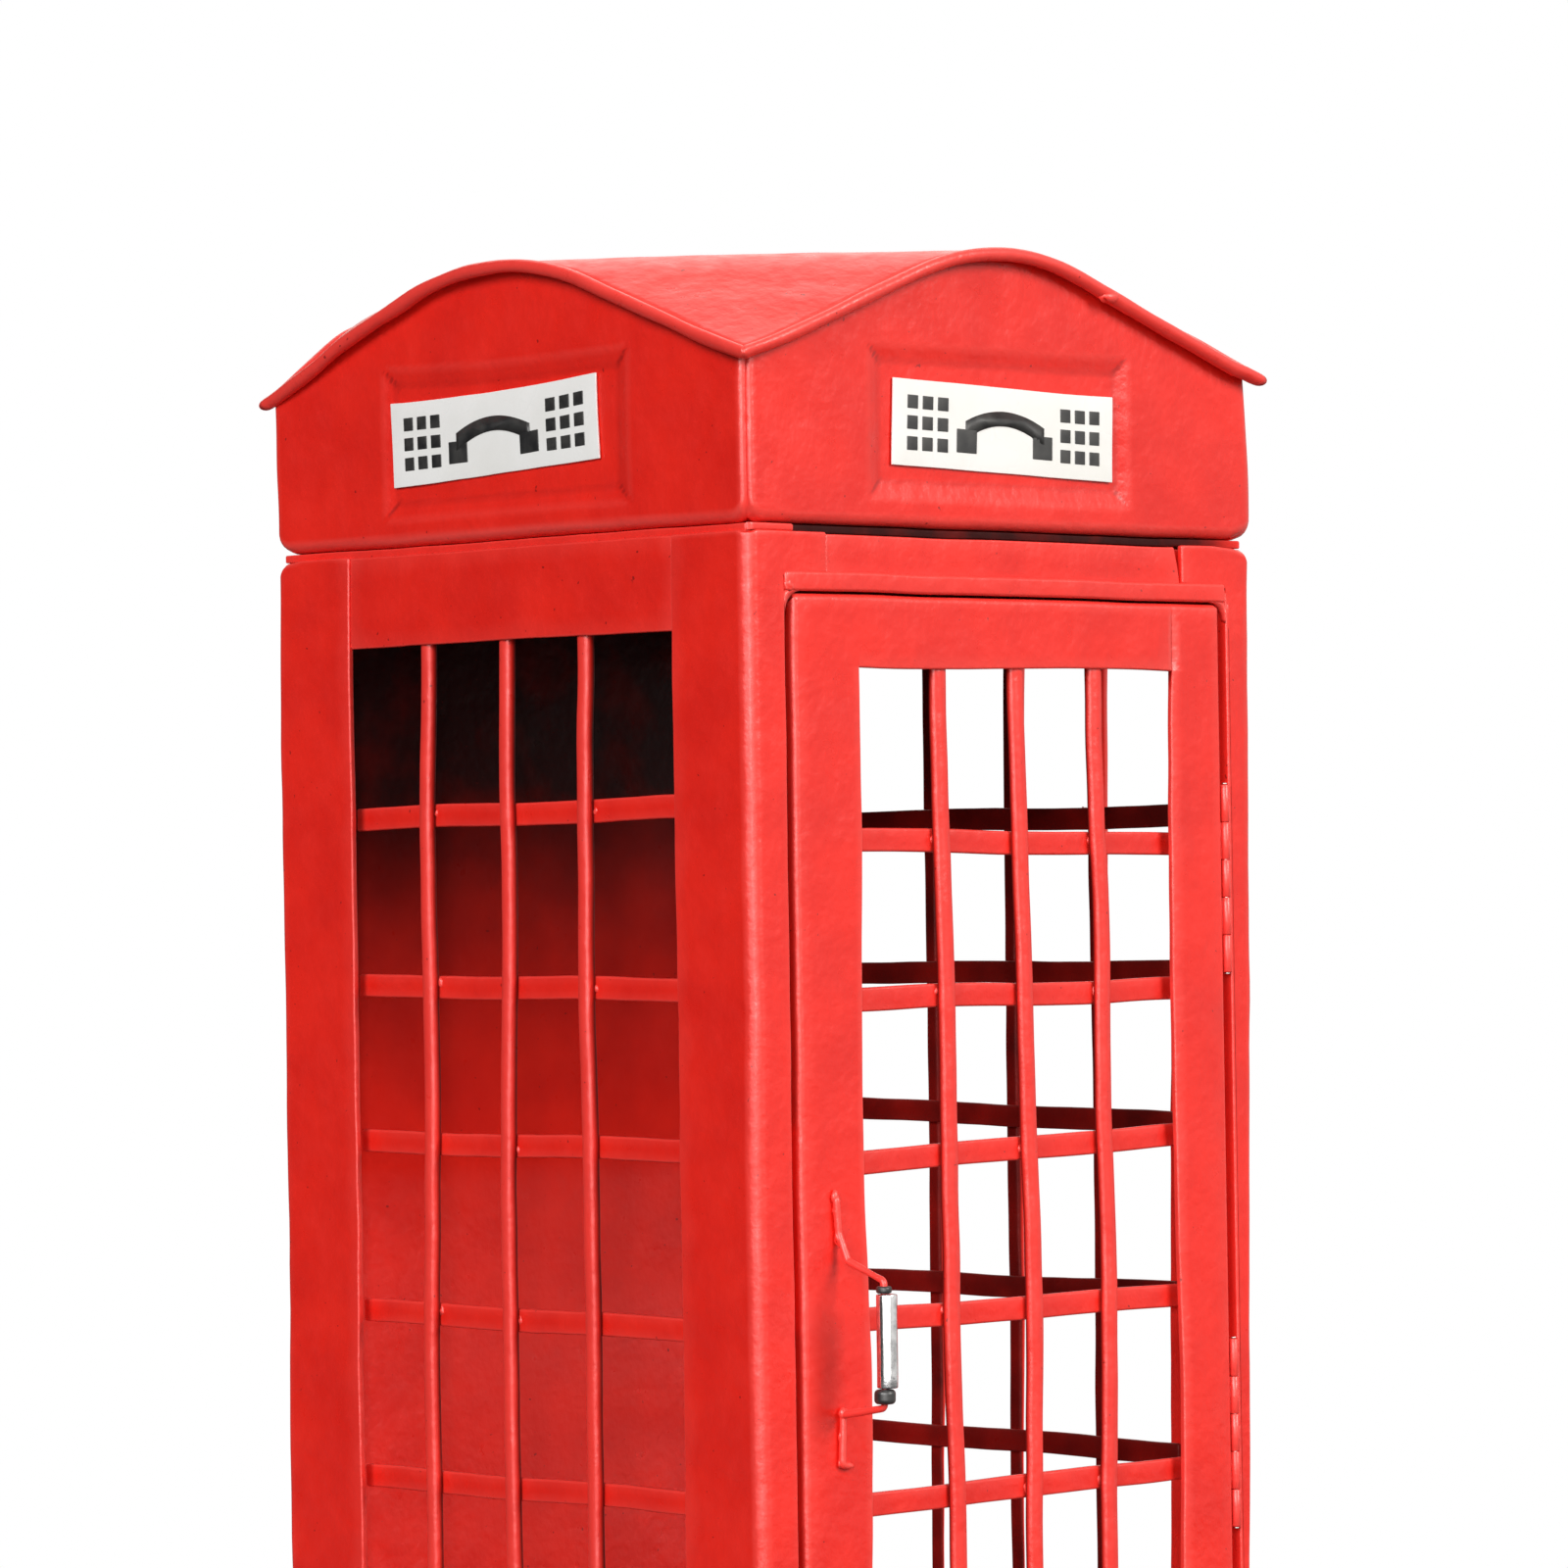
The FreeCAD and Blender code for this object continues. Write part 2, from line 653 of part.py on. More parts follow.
def roof():
    shapes = {"roof_sheet": roof_sheet()}
    for name, turn in sides.items():
        shapes["roof_fascia_" + name] = turned(fascia(), turn)
        shapes["roof_edge_" + name] = turned(roof_edge(), turn)
        shapes["sign_" + name] = turned(sign(*sign_places[name]), turn)
    shapes["roof_seat"] = roof_seat()
    return shapes


def build():
    shapes = {}
    groups = [corner_posts, body_sheets, side_windows, door_sheets, door_window,
              hinges, catch, handle, roof]
    for group in groups:
        shapes.update(group())
    return shapes


def main():
    os.makedirs("parts", exist_ok=True)
    shapes = build()
    for name, shape in shapes.items():
        shape.exportStep("parts/" + name + ".step")
        solids = len(shape.Solids)
        print(f"{name:28s} solids {solids}  volume {shape.Volume:10.2f}  valid {shape.isValid()}")
    print(len(shapes), "nodes")


main()
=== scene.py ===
import math
from itertools import product

import bmesh
import bpy
import numpy as np
from mathutils import Matrix, Vector


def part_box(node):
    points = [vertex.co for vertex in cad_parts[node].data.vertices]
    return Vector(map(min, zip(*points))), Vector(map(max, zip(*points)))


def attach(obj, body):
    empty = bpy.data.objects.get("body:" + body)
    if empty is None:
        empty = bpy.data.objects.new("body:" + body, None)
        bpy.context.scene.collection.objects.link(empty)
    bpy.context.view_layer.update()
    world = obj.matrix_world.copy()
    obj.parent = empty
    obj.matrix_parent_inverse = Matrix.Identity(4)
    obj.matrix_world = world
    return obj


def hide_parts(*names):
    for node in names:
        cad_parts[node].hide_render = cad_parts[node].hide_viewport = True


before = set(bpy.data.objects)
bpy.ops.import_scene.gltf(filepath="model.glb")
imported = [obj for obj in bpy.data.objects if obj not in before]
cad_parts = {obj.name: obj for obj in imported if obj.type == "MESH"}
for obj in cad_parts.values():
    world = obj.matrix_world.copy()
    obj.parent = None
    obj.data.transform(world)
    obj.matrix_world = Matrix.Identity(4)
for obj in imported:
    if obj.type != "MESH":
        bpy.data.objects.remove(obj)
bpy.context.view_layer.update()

# A small sheet-steel telephone booth, painted red. Every outline below is in millimetres;
# piece() turns it into metres. The door is at -Y, its hinges at +X, its handle at -X.

mm = 0.001


def span(node):
    """Lowest and highest corner of a CAD node in millimetres."""
    low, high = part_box(node)
    return np.array(low) / mm, np.array(high) / mm


# ---- sizes, most worked out from the CAD nodes ----
post_low, post_high = span("corner_post_front_left")
right_low, right_high = span("corner_post_front_right")
hem_low, hem_high = span("header_front")
header_low, header_high = span("header_left")
panel_low, panel_high = span("door_bottom_panel")
rail_low, rail_high = span("door_top_rail")
seat_low, seat_high = span("roof_seat")
fascia_low, fascia_high = span("roof_fascia_front")
roof_half, _, crown_top = span("roof_edge_front")[1]

body_half = -post_low[0]
body_top = post_high[2]
post_width = post_high[1] - post_low[1]
post_head_left = post_high[0] - post_low[0]
post_head_right = right_high[0] - right_low[0]
post_front_left = hem_low[0] + body_half
post_front_right = body_half - hem_high[0]
sheet = header_high[0] - header_low[0]
header_recess = header_low[0] + body_half
header_height = 9.8         # from the top of the doorway to the tops of the posts
opening_top = right_high[2] - header_height
sill_top = span("door_sill")[1][2]
door_low = span("door_stile_left")[0]
door_high = span("door_stile_right")[1]
door_window = (panel_low[0], rail_high[0], panel_high[2], rail_low[2])
door_flange = span("door_edge_left")[1][1] + body_half
hinge_line = sum(span("hinge_pin_top"))[:2] / 2
roof_bottom = seat_high[2]
cap_half = -fascia_low[1]
fascia_half = fascia_high[0]

fold_radius = 2.5           # front left corner
tight_fold = 1.3            # the other corners
blunt_tip = 0.9             # rounding of the front left post's sharp top corner
post_tip = 3.0              # rounding of the other posts' top corners
edge_round = 0.36           # rounding of cut sheet edges under paint
soft_edge = 0.55            # rounding of folded sheet edges under paint
hem_height = 3.2            # folded lower edge of the front header
header_head = opening_top + hem_height
door_corner = 1.4           # rounding of the door's top corners
door_fold = 1.15
doorway_corner = 3.6
door_lift = 0.4             # how far the leaf's top edge was drawn up
far_bar_lap = 1.8           # the right window's crossbars run further behind the front post
bead_radius = 1.2           # rolled bead round the roof
bead_proud = 0.4
bead_line = roof_half - bead_radius
roof_reach = bead_line - bead_radius
crown_radius = 58.0
crown_end = 21.5
slope_end = 48.0
flare_radius = 178.0


# ---- shaping helpers ----
def smooth(value, low, high):
    t = np.clip((value - low) / (high - low), 0, 1)
    return t * t * (3 - 2 * t)


def hump(value, middle, half_width):
    """1 at the middle, fading to 0 half_width away."""
    return np.exp(-((value - middle) / half_width) ** 2 * 2)


def waves(points, length, seed):
    """Gentle random unevenness between about -1 and 1, the same for the same place and seed."""
    rng = np.random.default_rng(seed)
    total = np.zeros(len(points))
    for _ in range(6):
        way = rng.normal(size=3)
        way *= rng.uniform(0.7, 1.5) * math.tau / length / np.linalg.norm(way)
        total += np.sin(points @ way + rng.uniform(0, math.tau))
    return total / 3.5


def rounding(distance, radius, least=0):
    """Height of a quarter round's outline at a distance inwards from its foot."""
    height = np.sqrt(np.maximum(radius ** 2 - (radius - distance) ** 2, least))
    return np.where(distance < radius, height, radius)


def uneven(points):
    """Hand-made unevenness of the whole booth, and the outward lean of its hinge-side wall."""
    moved = points.copy()
    for axis in range(3):
        size = 0.16 if axis < 2 else 0.10
        moved[:, axis] += size * waves(points, 46, 10 + axis)
        moved[:, axis] += 0.05 * waves(points, 13, 20 + axis)
    x, z = points[:, 0], points[:, 2]
    rear_left = smooth(moved[:, 1] - x, 108, 119)
    moved[:, 1] += 0.7 * rear_left
    moved[:, 0] -= 0.4 * rear_left
    lean = np.where(z > 100, (z - 161) * 0.0212, -1.3 * smooth(z, 62, 100))
    moved[:, 0] += lean * smooth(x, 56, 59) * smooth(-z, -334, -284)
    # the hinges stay true to their line
    from_pin = np.hypot(x - hinge_line[0], points[:, 1] - hinge_line[1])
    share = 1 - (1 - smooth(from_pin, 2.4, 4.6)) * smooth(-z, -278, -272)
    return points + (moved - points) * share[:, None]


def roof_drop(u):
    """How far the roof line lies below the crown at a distance u from the middle of a side."""
    u = np.maximum(u, 0)
    pitch = math.asin(crown_end / crown_radius)
    at_crown_end = crown_radius * (1 - math.cos(pitch))
    at_slope_end = at_crown_end + math.tan(pitch) * (slope_end - crown_end)
    centre_u = slope_end + flare_radius * math.sin(pitch)
    centre_drop = at_slope_end - flare_radius * math.cos(pitch)
    crown = crown_radius - np.sqrt(crown_radius ** 2 - np.minimum(u, crown_end) ** 2)
    slope = at_crown_end + math.tan(pitch) * (u - crown_end)
    flare = centre_drop + np.sqrt(flare_radius ** 2 - (u - centre_u) ** 2)
    return np.where(u <= crown_end, crown, np.where(u <= slope_end, slope, flare))


def roof_dents(points):
    """The roof's own unevenness: two edges bulge, a crown dips and one corner hangs lower."""
    moved = points.copy()
    x, y, z = points[:, 0], points[:, 1], points[:, 2]
    up = smooth(z, 296, 306)
    rear_bulge = 5.8 * hump(x, -43, 22) * smooth(y, 20, 60)
    right_bulge = 3.4 * hump(y, -42, 26) * smooth(x, 20, 60)
    crown_dip = 0.6 * hump(y, 0, 30) * smooth(-x, 30, 60)
    corner = smooth(y - x, 96, 124)
    moved[:, 2] += up * (rear_bulge + right_bulge - crown_dip - 1.8 * corner)
    return moved


def roof_uneven(points):
    """Unevenness of the roof sheet and its beads, which also stop short at the rear left corner."""
    moved = uneven(roof_dents(points))
    corner = smooth(points[:, 1] - points[:, 0], 100, 126)
    moved[:, 0] += 1.0 * corner
    moved[:, 1] -= 1.4 * corner
    return moved


def fascia_uneven(points):
    """Unevenness of the fascia panels, which reach out further at the hinge side."""
    moved = uneven(roof_dents(points))
    moved[:, 0] += 2.0 * smooth(points[:, 0], 38, 58)
    rear_left = smooth(points[:, 1] - points[:, 0], 96, 118)
    moved[:, 1] += 0.7 * rear_left
    moved[:, 0] -= 0.7 * rear_left
    return moved


# ---- mesh helpers ----
class Shape:
    """Gathers closed surfaces of one piece."""

    def __init__(self):
        self.points = []
        self.faces = []
        self.count = 0

    def add(self, points, faces):
        self.points.append(np.asarray(points, float).reshape(-1, 3))
        self.faces += [tuple(int(i) + self.count for i in face) for face in faces]
        self.count += len(self.points[-1])
        return self

    def grid(self, points, wrap=False):
        """Quads over rows and columns of points; wrap makes every row a ring of a closed bar."""
        rows, columns = points.shape[:2]
        index = np.arange(rows * columns).reshape(rows, columns)
        ends = [index[0], index[-1]] if wrap else []
        if wrap:
            index = np.concatenate([index, index[:, :1]], axis=1)
        a, b = index[:-1, :-1].ravel(), index[1:, :-1].ravel()
        c, d = index[1:, 1:].ravel(), index[:-1, 1:].ravel()
        return self.add(points, [*zip(a, b, c, d), *ends])

    def box(self, low, high, radius=edge_round, step=(3, 3, 3)):
        return self.add(*rounded_box(low, high, radius, step))

    def lump(self, centre, size, seed):
        return self.add(*blob(centre, size, seed))

    def all_points(self):
        return np.concatenate(self.points)


def welded(points, faces):
    """The same surface with points at the same place made one."""
    unique, back = np.unique(np.round(points, 4), axis=0, return_inverse=True)
    back = back.ravel()
    out = []
    for face in faces:
        ring = tuple(dict.fromkeys(back[list(face)].tolist()))
        if len(ring) > 2:
            out.append(ring)
    return unique, out


def prism(near, far):
    """Closed shape between two matching outlines."""
    count = len(near)
    faces = [tuple(range(count)), tuple(range(count, 2 * count))]
    for i in range(count):
        j = (i + 1) % count
        faces.append((i, j, j + count, i + count))
    return [*near, *far], faces


def stops(low, high, radius, step, extra):
    """Places along one side of a rounded box: close together in the rounding, then evenly."""
    ends = radius * (1 - np.tan(np.radians([45, 30, 15])))
    count = max(1, int(round((high - low - 2 * radius) / step)))
    middle = np.linspace(low + radius, high - radius, count + 1)
    parts = [low + ends, middle, high - ends, np.array(extra, float)]
    return np.unique(np.round(np.concatenate(parts), 5))


def rounded_box(low, high, radius=edge_round, step=(3, 3, 3), extra=((), (), ())):
    """Points and faces of a box with rounded edges."""
    low = np.array(low, float)
    high = np.array(high, float)
    radius = min(radius, 0.49 * (high - low).min())
    axes = [stops(low[i], high[i], radius, step[i], extra[i]) for i in range(3)]
    shape = Shape()
    for axis in range(3):
        a, b = [i for i in range(3) if i != axis]
        across, along = np.meshgrid(axes[a], axes[b], indexing="ij")
        for level in (low[axis], high[axis]):
            points = np.empty(across.shape + (3,))
            points[..., a] = across
            points[..., b] = along
            points[..., axis] = level
            shape.grid(points)
    points = shape.all_points()
    core = np.clip(points, low + radius, high - radius)
    way = points - core
    way /= np.maximum(np.linalg.norm(way, axis=1), 1e-9)[:, None]
    return welded(core + way * radius, shape.faces)


def angle_sheet(width_u, width_v, length, fold, extra):
    """Folded upright sheet with flanges along u and v, which are measured from its outer faces."""
    quarter = fold * math.pi / 2
    start = -(width_v - fold) - quarter / 2
    end = (width_u - fold) + quarter / 2
    bend = np.linspace(-quarter / 2, quarter / 2, 9)
    points, faces = rounded_box((start, 0, 0), (end, sheet, length), step=(4, 3, 4),
                                extra=(bend, (), extra))
    s, n, w = points.T
    turn = np.clip(s, -quarter / 2, quarter / 2) / fold + math.radians(225)
    u = fold + (fold - n) * np.cos(turn) + np.maximum(s - quarter / 2, 0)
    v = fold + (fold - n) * np.sin(turn) + np.maximum(-s - quarter / 2, 0)
    return u, v, w, faces


def shell(us, vs, place, edge_distance=None, keep=None):
    """Sheet over a grid of us and vs. place(u, v, depth) gives the point.
    edge_distance(u, v) is the distance from the nearest free edge to be rounded."""
    u, v = np.meshgrid(us, vs, indexing="ij")
    rows, columns = u.shape
    cells = np.ones((rows - 1, columns - 1), bool)
    if keep is not None:
        cells = keep((u[1:, 1:] + u[:-1, :-1]) / 2, (v[1:, 1:] + v[:-1, :-1]) / 2)
    inset = np.zeros(u.shape)
    if edge_distance is not None:
        inset = edge_round - rounding(np.maximum(edge_distance(u, v), 0), edge_round)
    outer = place(u.ravel(), v.ravel(), inset.ravel())
    inner = place(u.ravel(), v.ravel(), (sheet - inset).ravel())
    total = rows * columns
    index = np.arange(total).reshape(rows, columns)
    faces = []
    for i, j in np.argwhere(cells):
        a, b, c, d = index[i, j], index[i + 1, j], index[i + 1, j + 1], index[i, j + 1]
        faces.append((a, b, c, d))
        faces.append((a + total, d + total, c + total, b + total))
        beyond = (i - 1, j, a, d), (i + 1, j, c, b), (i, j - 1, b, a), (i, j + 1, d, c)
        for row, column, p, q in beyond:
            inside = 0 <= row < rows - 1 and 0 <= column < columns - 1 and cells[row, column]
            if not inside:
                faces.append((p, q, q + total, p + total))
    points = np.concatenate([outer, inner])
    used = np.unique(np.array([i for face in faces for i in face]))
    renumber = np.full(len(points), -1)
    renumber[used] = np.arange(len(used))
    return points[used], [tuple(renumber[list(face)]) for face in faces]


def tube(path, radii, sides):
    """Closed round bar along the path; radii is one radius for each point of the path."""
    ahead = np.gradient(path, axis=0)
    ahead /= np.linalg.norm(ahead, axis=1)[:, None]
    side = np.cross(ahead, [0.31, 0.17, 0.93])
    side /= np.linalg.norm(side, axis=1)[:, None]
    up = np.cross(side, ahead)
    turn = np.linspace(0, math.tau, sides, endpoint=False)
    ring = np.cos(turn)[None, :, None] * side[:, None, :] + np.sin(turn)[None, :, None] * up[:, None, :]
    return Shape().grid(path[:, None, :] + ring * radii[:, None, None], wrap=True)


def lathe(centre, profile, sides=36):
    """Turned part about the vertical line through the centre, from a closed list of (radius, height)."""
    radius, height = np.array(profile, float).T
    turn = np.linspace(0, math.tau, sides, endpoint=False)
    points = np.stack([centre[0] + np.outer(np.cos(turn), radius), centre[1] + np.outer(np.sin(turn), radius),
                       np.tile(height, (sides, 1))], axis=2)
    points = np.concatenate([points, points[:1]])
    points = np.concatenate([points, points[:, :1]], axis=1)
    shape = Shape().grid(points)
    return welded(shape.all_points(), shape.faces)


def blob(centre, size, seed):
    """Lump of weld or thick paint."""
    polar, turn = np.meshgrid(np.linspace(0, math.pi, 9), np.linspace(0, math.tau, 15), indexing="ij")
    way = np.stack([np.sin(polar) * np.cos(turn), np.sin(polar) * np.sin(turn), np.cos(polar)], axis=-1)
    lumps = 1 + 0.22 * waves(way.reshape(-1, 3) * 10, 14, seed).reshape(polar.shape)
    points = np.array(centre) + way * lumps[..., None] * np.array(size)
    points[:, -1] = points[:, 0]
    shape = Shape().grid(points)
    return welded(shape.all_points(), shape.faces)


def placed(name, data):
    """A new object for the data, in the scene."""
    thing = bpy.data.objects.new(name, data)
    bpy.context.scene.collection.objects.link(thing)
    return thing


def piece(name, shape, look, body, nodes=(), moved=uneven, painted_shade=None):
    """Blender object from a Shape, riding on its CAD body and standing for its CAD nodes.
    Its last argument, a function of the points, says how much shade is painted on each point inside the
    booth."""
    built = shape.all_points()
    mesh = bpy.data.meshes.new(name)
    mesh.from_pydata((moved(built) * mm).tolist(), [], shape.faces)
    build = bmesh.new()
    build.from_mesh(mesh)
    bmesh.ops.recalc_face_normals(build, faces=build.faces)
    build.to_mesh(mesh)
    build.free()
    mesh.shade_smooth()
    # rim carries the painted highlight on outer edges and the painted shade in inner corners
    mark(mesh, "rim", sharpness(mesh))
    # shade painted inside the booth, stored for the paint
    mark(mesh, "painted_shade", np.zeros(len(built)) if painted_shade is None else painted_shade(built))
    mesh.materials.append(look)
    thing = placed(name, mesh)
    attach(thing, body)
    if nodes:
        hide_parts(*nodes)


def mark(mesh, name, values):
    """Stores one value for each point of the mesh, which the paint reads."""
    mesh.attributes.new(name, "FLOAT", "POINT").data.foreach_set("value", values.astype(np.float32))


def sharpness(mesh):
    """How sharply the surface turns outwards at each point, -1 to 1; inner corners are below 0."""
    def read(elements, name, width, kind=float):
        values = np.zeros(len(elements) * width, kind)
        elements.foreach_get(name, values)
        return values.reshape(-1, width)

    places = read(mesh.vertices, "co", 3)
    normals = read(mesh.vertices, "normal", 3)
    first, second = read(mesh.edges, "vertices", 2, int).T
    way = places[first] - places[second]
    way /= np.maximum(np.linalg.norm(way, axis=1), 1e-9)[:, None]
    bend = np.zeros(len(places))
    shares = np.zeros(len(places))
    for ends, sign_of_way in ((first, 1), (second, -1)):
        np.add.at(bend, ends, sign_of_way * (normals[ends] * way).sum(1))
        np.add.at(shares, ends, 1)
    return np.clip(bend / np.maximum(shares, 1) * 7, -1, 1)


# ---- materials ----
def plug(tree, node, inputs):
    """Sets the node's inputs, each to a constant or to another node's output."""
    for key, value in inputs.items():
        if isinstance(value, bpy.types.NodeSocket):
            tree.links.new(value, node.inputs[key])
        else:
            node.inputs[key].default_value = value


def make(tree, kind, inputs, **settings):
    """New shader node of the kind, with its settings and inputs."""
    node = tree.nodes.new("ShaderNode" + kind)
    for key, value in settings.items():
        setattr(node, key, value)
    plug(tree, node, inputs)
    return node


def fresh(name):
    material = bpy.data.materials.new(name)
    material.use_nodes = True
    tree = material.node_tree
    coordinates = make(tree, "TexCoord", {})
    return material, tree, tree.nodes["Principled BSDF"], coordinates.outputs["Object"]


def noise(tree, place, scale, detail):
    return make(tree, "TexNoise", {"Vector": place, "Scale": scale, "Detail": detail}).outputs["Fac"]


def remap(tree, value, low, high, out_low, out_high):
    return make(tree, "MapRange", {"Value": value, "From Min": low, "From Max": high,
                                   "To Min": out_low, "To Max": out_high}).outputs["Result"]


def mixed(tree, share, first, second):
    """Colour between first and second; each is a colour or a socket."""
    first, second = (end + (1.0,) if isinstance(end, tuple) else end for end in (first, second))
    return make(tree, "Mix", {"Factor": share, 6: first, 7: second}, data_type="RGBA").outputs[2]


def bumped(tree, height, distance, under=None):
    """Normal of a surface raised by the height; under is the normal of another bump below it."""
    node = make(tree, "Bump", {"Distance": distance, "Height": height})
    if under is not None:
        plug(tree, node, {"Normal": under})
    return node.outputs["Normal"]


def stored(tree, name):
    """The value that mark() stored under this name."""
    return make(tree, "Attribute", {}, attribute_name=name).outputs["Fac"]


def red_paint(name):
    """Thick glossy enamel: orange peel, a painted highlight on outer edges, painted shade in inner corners
    and inside the booth, a few specks.
    """
    material, tree, shader, place = fresh(name)
    broad = noise(tree, place, 70, 3)
    colour = mixed(tree, remap(tree, broad, 0.35, 0.65, 0, 1), (0.82, 0.019, 0.010), (0.72, 0.014, 0.008))
    rim = stored(tree, "rim")
    # painted highlight: outer edges are mixed towards a light pink
    colour = mixed(tree, remap(tree, rim, 0.05, 0.75, 0.0, 0.62), colour, (0.93, 0.085, 0.070))
    # painted shade inside the booth: towards the ceiling the red is mixed, a little patchily, towards near
    # black
    inside_shade = stored(tree, "painted_shade")
    patchy_shade = make(tree, "Math", {0: remap(tree, broad, 0.3, 0.7, 0.9, 1.1), 1: inside_shade, 2: 0.0},
                  operation="MULTIPLY_ADD", use_clamp=True)
    colour = mixed(tree, patchy_shade.outputs[0], colour, (0.030, 0.004, 0.004))
    # painted shade: inner corners are mixed towards dark red
    colour = mixed(tree, remap(tree, rim, -0.6, -0.08, 0.55, 0.0), colour, (0.22, 0.004, 0.004))
    specks = noise(tree, place, 900, 1)
    colour = mixed(tree, remap(tree, specks, 0.76, 0.80, 0.0, 0.7), colour, (0.13, 0.004, 0.004))
    smear = noise(tree, place, 260, 3)
    lumps = bumped(tree, noise(tree, place, 130, 2), 0.00026)
    peel = bumped(tree, noise(tree, place, 620, 2), 0.00011, lumps)
    # where shade is painted inside the booth, the paint is made duller as well as darker
    plug(tree, shader, {"Base Color": colour, "Specular IOR Level": remap(tree, inside_shade, 0.0, 0.06, 0.5, 0.08),
                        "Roughness": remap(tree, smear, 0.3, 0.7, 0.27, 0.42), "Normal": peel})
    return material


def two_tone(name, size, edges, colours, roughness, grain, grain_depth, metallic=0.0):
    """Uneven mix of two close shades with uneven roughness and fine grain."""
    material, tree, shader, place = fresh(name)
    patch = noise(tree, place, size, 3)
    plug(tree, shader, {"Base Color": mixed(tree, remap(tree, patch, *edges, 0, 1), *colours),
                        "Roughness": remap(tree, patch, 0.3, 0.7, *roughness), "Metallic": metallic,
                        "Normal": bumped(tree, noise(tree, place, grain, 2), grain_depth)})
    return material


def steel(name, colour, roughness):
    """Bright metal with fine marks and smeared dull patches."""
    darker = tuple(channel * 0.55 for channel in colour)
    return two_tone(name, 420, (0.4, 0.7), (colour, darker), roughness, 1500, 0.00002, 1.0)


def dull(name, colours, roughness, size=300):
    """Plastic or ferrite."""
    return two_tone(name, size, (0.35, 0.65), colours, roughness, 2200, 0.000015)


paint = red_paint("red_enamel")
chrome = steel("bright_tube", (0.80, 0.80, 0.82), (0.10, 0.26))
wire = steel("hinge_wire", (0.52, 0.50, 0.48), (0.25, 0.45))
rubber = dull("black_ring", ((0.014, 0.014, 0.015), (0.035, 0.033, 0.032)), (0.28, 0.5))
white = dull("sign_plate", ((0.90, 0.89, 0.87), (0.84, 0.83, 0.80)), (0.22, 0.4), 90)
ink = dull("sign_print", ((0.012, 0.012, 0.013), (0.030, 0.029, 0.028)), (0.35, 0.55))
ferrite = dull("magnet", ((0.05, 0.05, 0.055), (0.09, 0.085, 0.08)), (0.5, 0.75))


def skin(node, shape, body="cabinet", end="_skin", others=(), moved=uneven, painted_shade=None):
    """Red painted piece that stands for the node and for any others."""
    piece(node + end, shape, paint, body, [node, *others], moved, painted_shade)


def painted_shade_inside(points):
    """Shade painted on the inside near the ceiling; further down the inside is fully red."""
    inside = np.maximum(np.abs(points[:, 0]), np.abs(points[:, 1]))
    inside_shade = np.interp(points[:, 2], [150, 172, 200, 225, 246], [0.0, 0.03, 0.22, 0.58, 1])
    return smooth(-inside, -59.0, -58.7) * inside_shade


def painted_shade_past_front(points):
    """The same painted shade, leaving out the front with its fully red edges round the door."""
    return painted_shade_inside(points) * smooth(points[:, 1], -56, -54)


def painted_shade_behind(node, axis):
    """Painted shade on the side of a bar that looks into the booth. axis points through the wall."""
    low, high = span(node)
    face = max(abs(low[axis]), abs(high[axis]))
    depth = high[axis] - low[axis]

    def inside_shade(points):
        level = np.abs(points[:, axis])
        return 0.85 * smooth(-level, -(face - 0.25 * depth), -(face - 0.75 * depth))

    return inside_shade


# ---- corner posts ----
def post(way_x, way_y, fold, head_width, low_width, tip=post_tip):
    """One folded corner post; its front flange may be narrower below the head."""
    step_at = (header_head - 0.7, header_head - 0.35, header_head, header_head + 0.35)
    x, y, z, faces = angle_sheet(head_width, post_width, body_top, fold,
                                 step_at + (body_top - 1, body_top - 2, body_top - 3))
    narrow = smooth(-z, -header_head, -header_head + 0.5)
    pull = np.where(x > fold, (x - fold) * (low_width - fold) / (head_width - fold) + fold, x)
    squeezed = np.where(x > head_width - edge_round, x - (head_width - low_width),
                        np.minimum(pull, low_width - edge_round))
    x = np.where((y < sheet + 0.01) & (x > fold), x + narrow * (squeezed - x), x)
    inward = np.maximum((x + y) / math.sqrt(2) - fold * (math.sqrt(2) - 1), 0)
    above = z - (body_top - tip)
    z = np.where(above > 0, body_top - tip + above * rounding(inward, tip, 0.3) / tip, z)
    return Shape().add(np.stack([way_x * (x - body_half), way_y * (y - body_half), z], axis=1), faces)


def corner_posts():
    front_left = post(1, 1, fold_radius, post_head_left, post_front_left, blunt_tip)
    front_right = post(-1, 1, tight_fold, post_head_right, post_front_right)
    edge = body_half - post_front_right
    front_right.box((edge, -body_half, sill_top + 1), (edge + sheet, -body_half + 5, opening_top),
                    soft_edge, (3, 3, 4))
    skin("corner_post_front_left", front_left, painted_shade=painted_shade_past_front)
    skin("corner_post_front_right", front_right, others=["door_jamb"], painted_shade=painted_shade_past_front)
    for side, way in (("left", 1), ("right", -1)):
        rear = post(way, -1, tight_fold, post_width, post_width)
        skin(f"corner_post_rear_{side}", rear, painted_shade=painted_shade_inside)


# ---- sheets between the posts ----
def doorway_gusset(end, toward):
    """Fills a top corner of the doorway up to its rounding."""
    middle_x, middle_z = end + toward * doorway_corner, opening_top - doorway_corner
    outline = [(end, opening_top)]
    for turn in np.linspace(0, math.pi / 2, 9):
        outline.append((middle_x - toward * doorway_corner * math.cos(turn),
                        middle_z + doorway_corner * math.sin(turn)))
    return prism([(x, -body_half + 0.05, z) for x, z in outline],
                 [(x, -body_half + sheet, z) for x, z in outline])


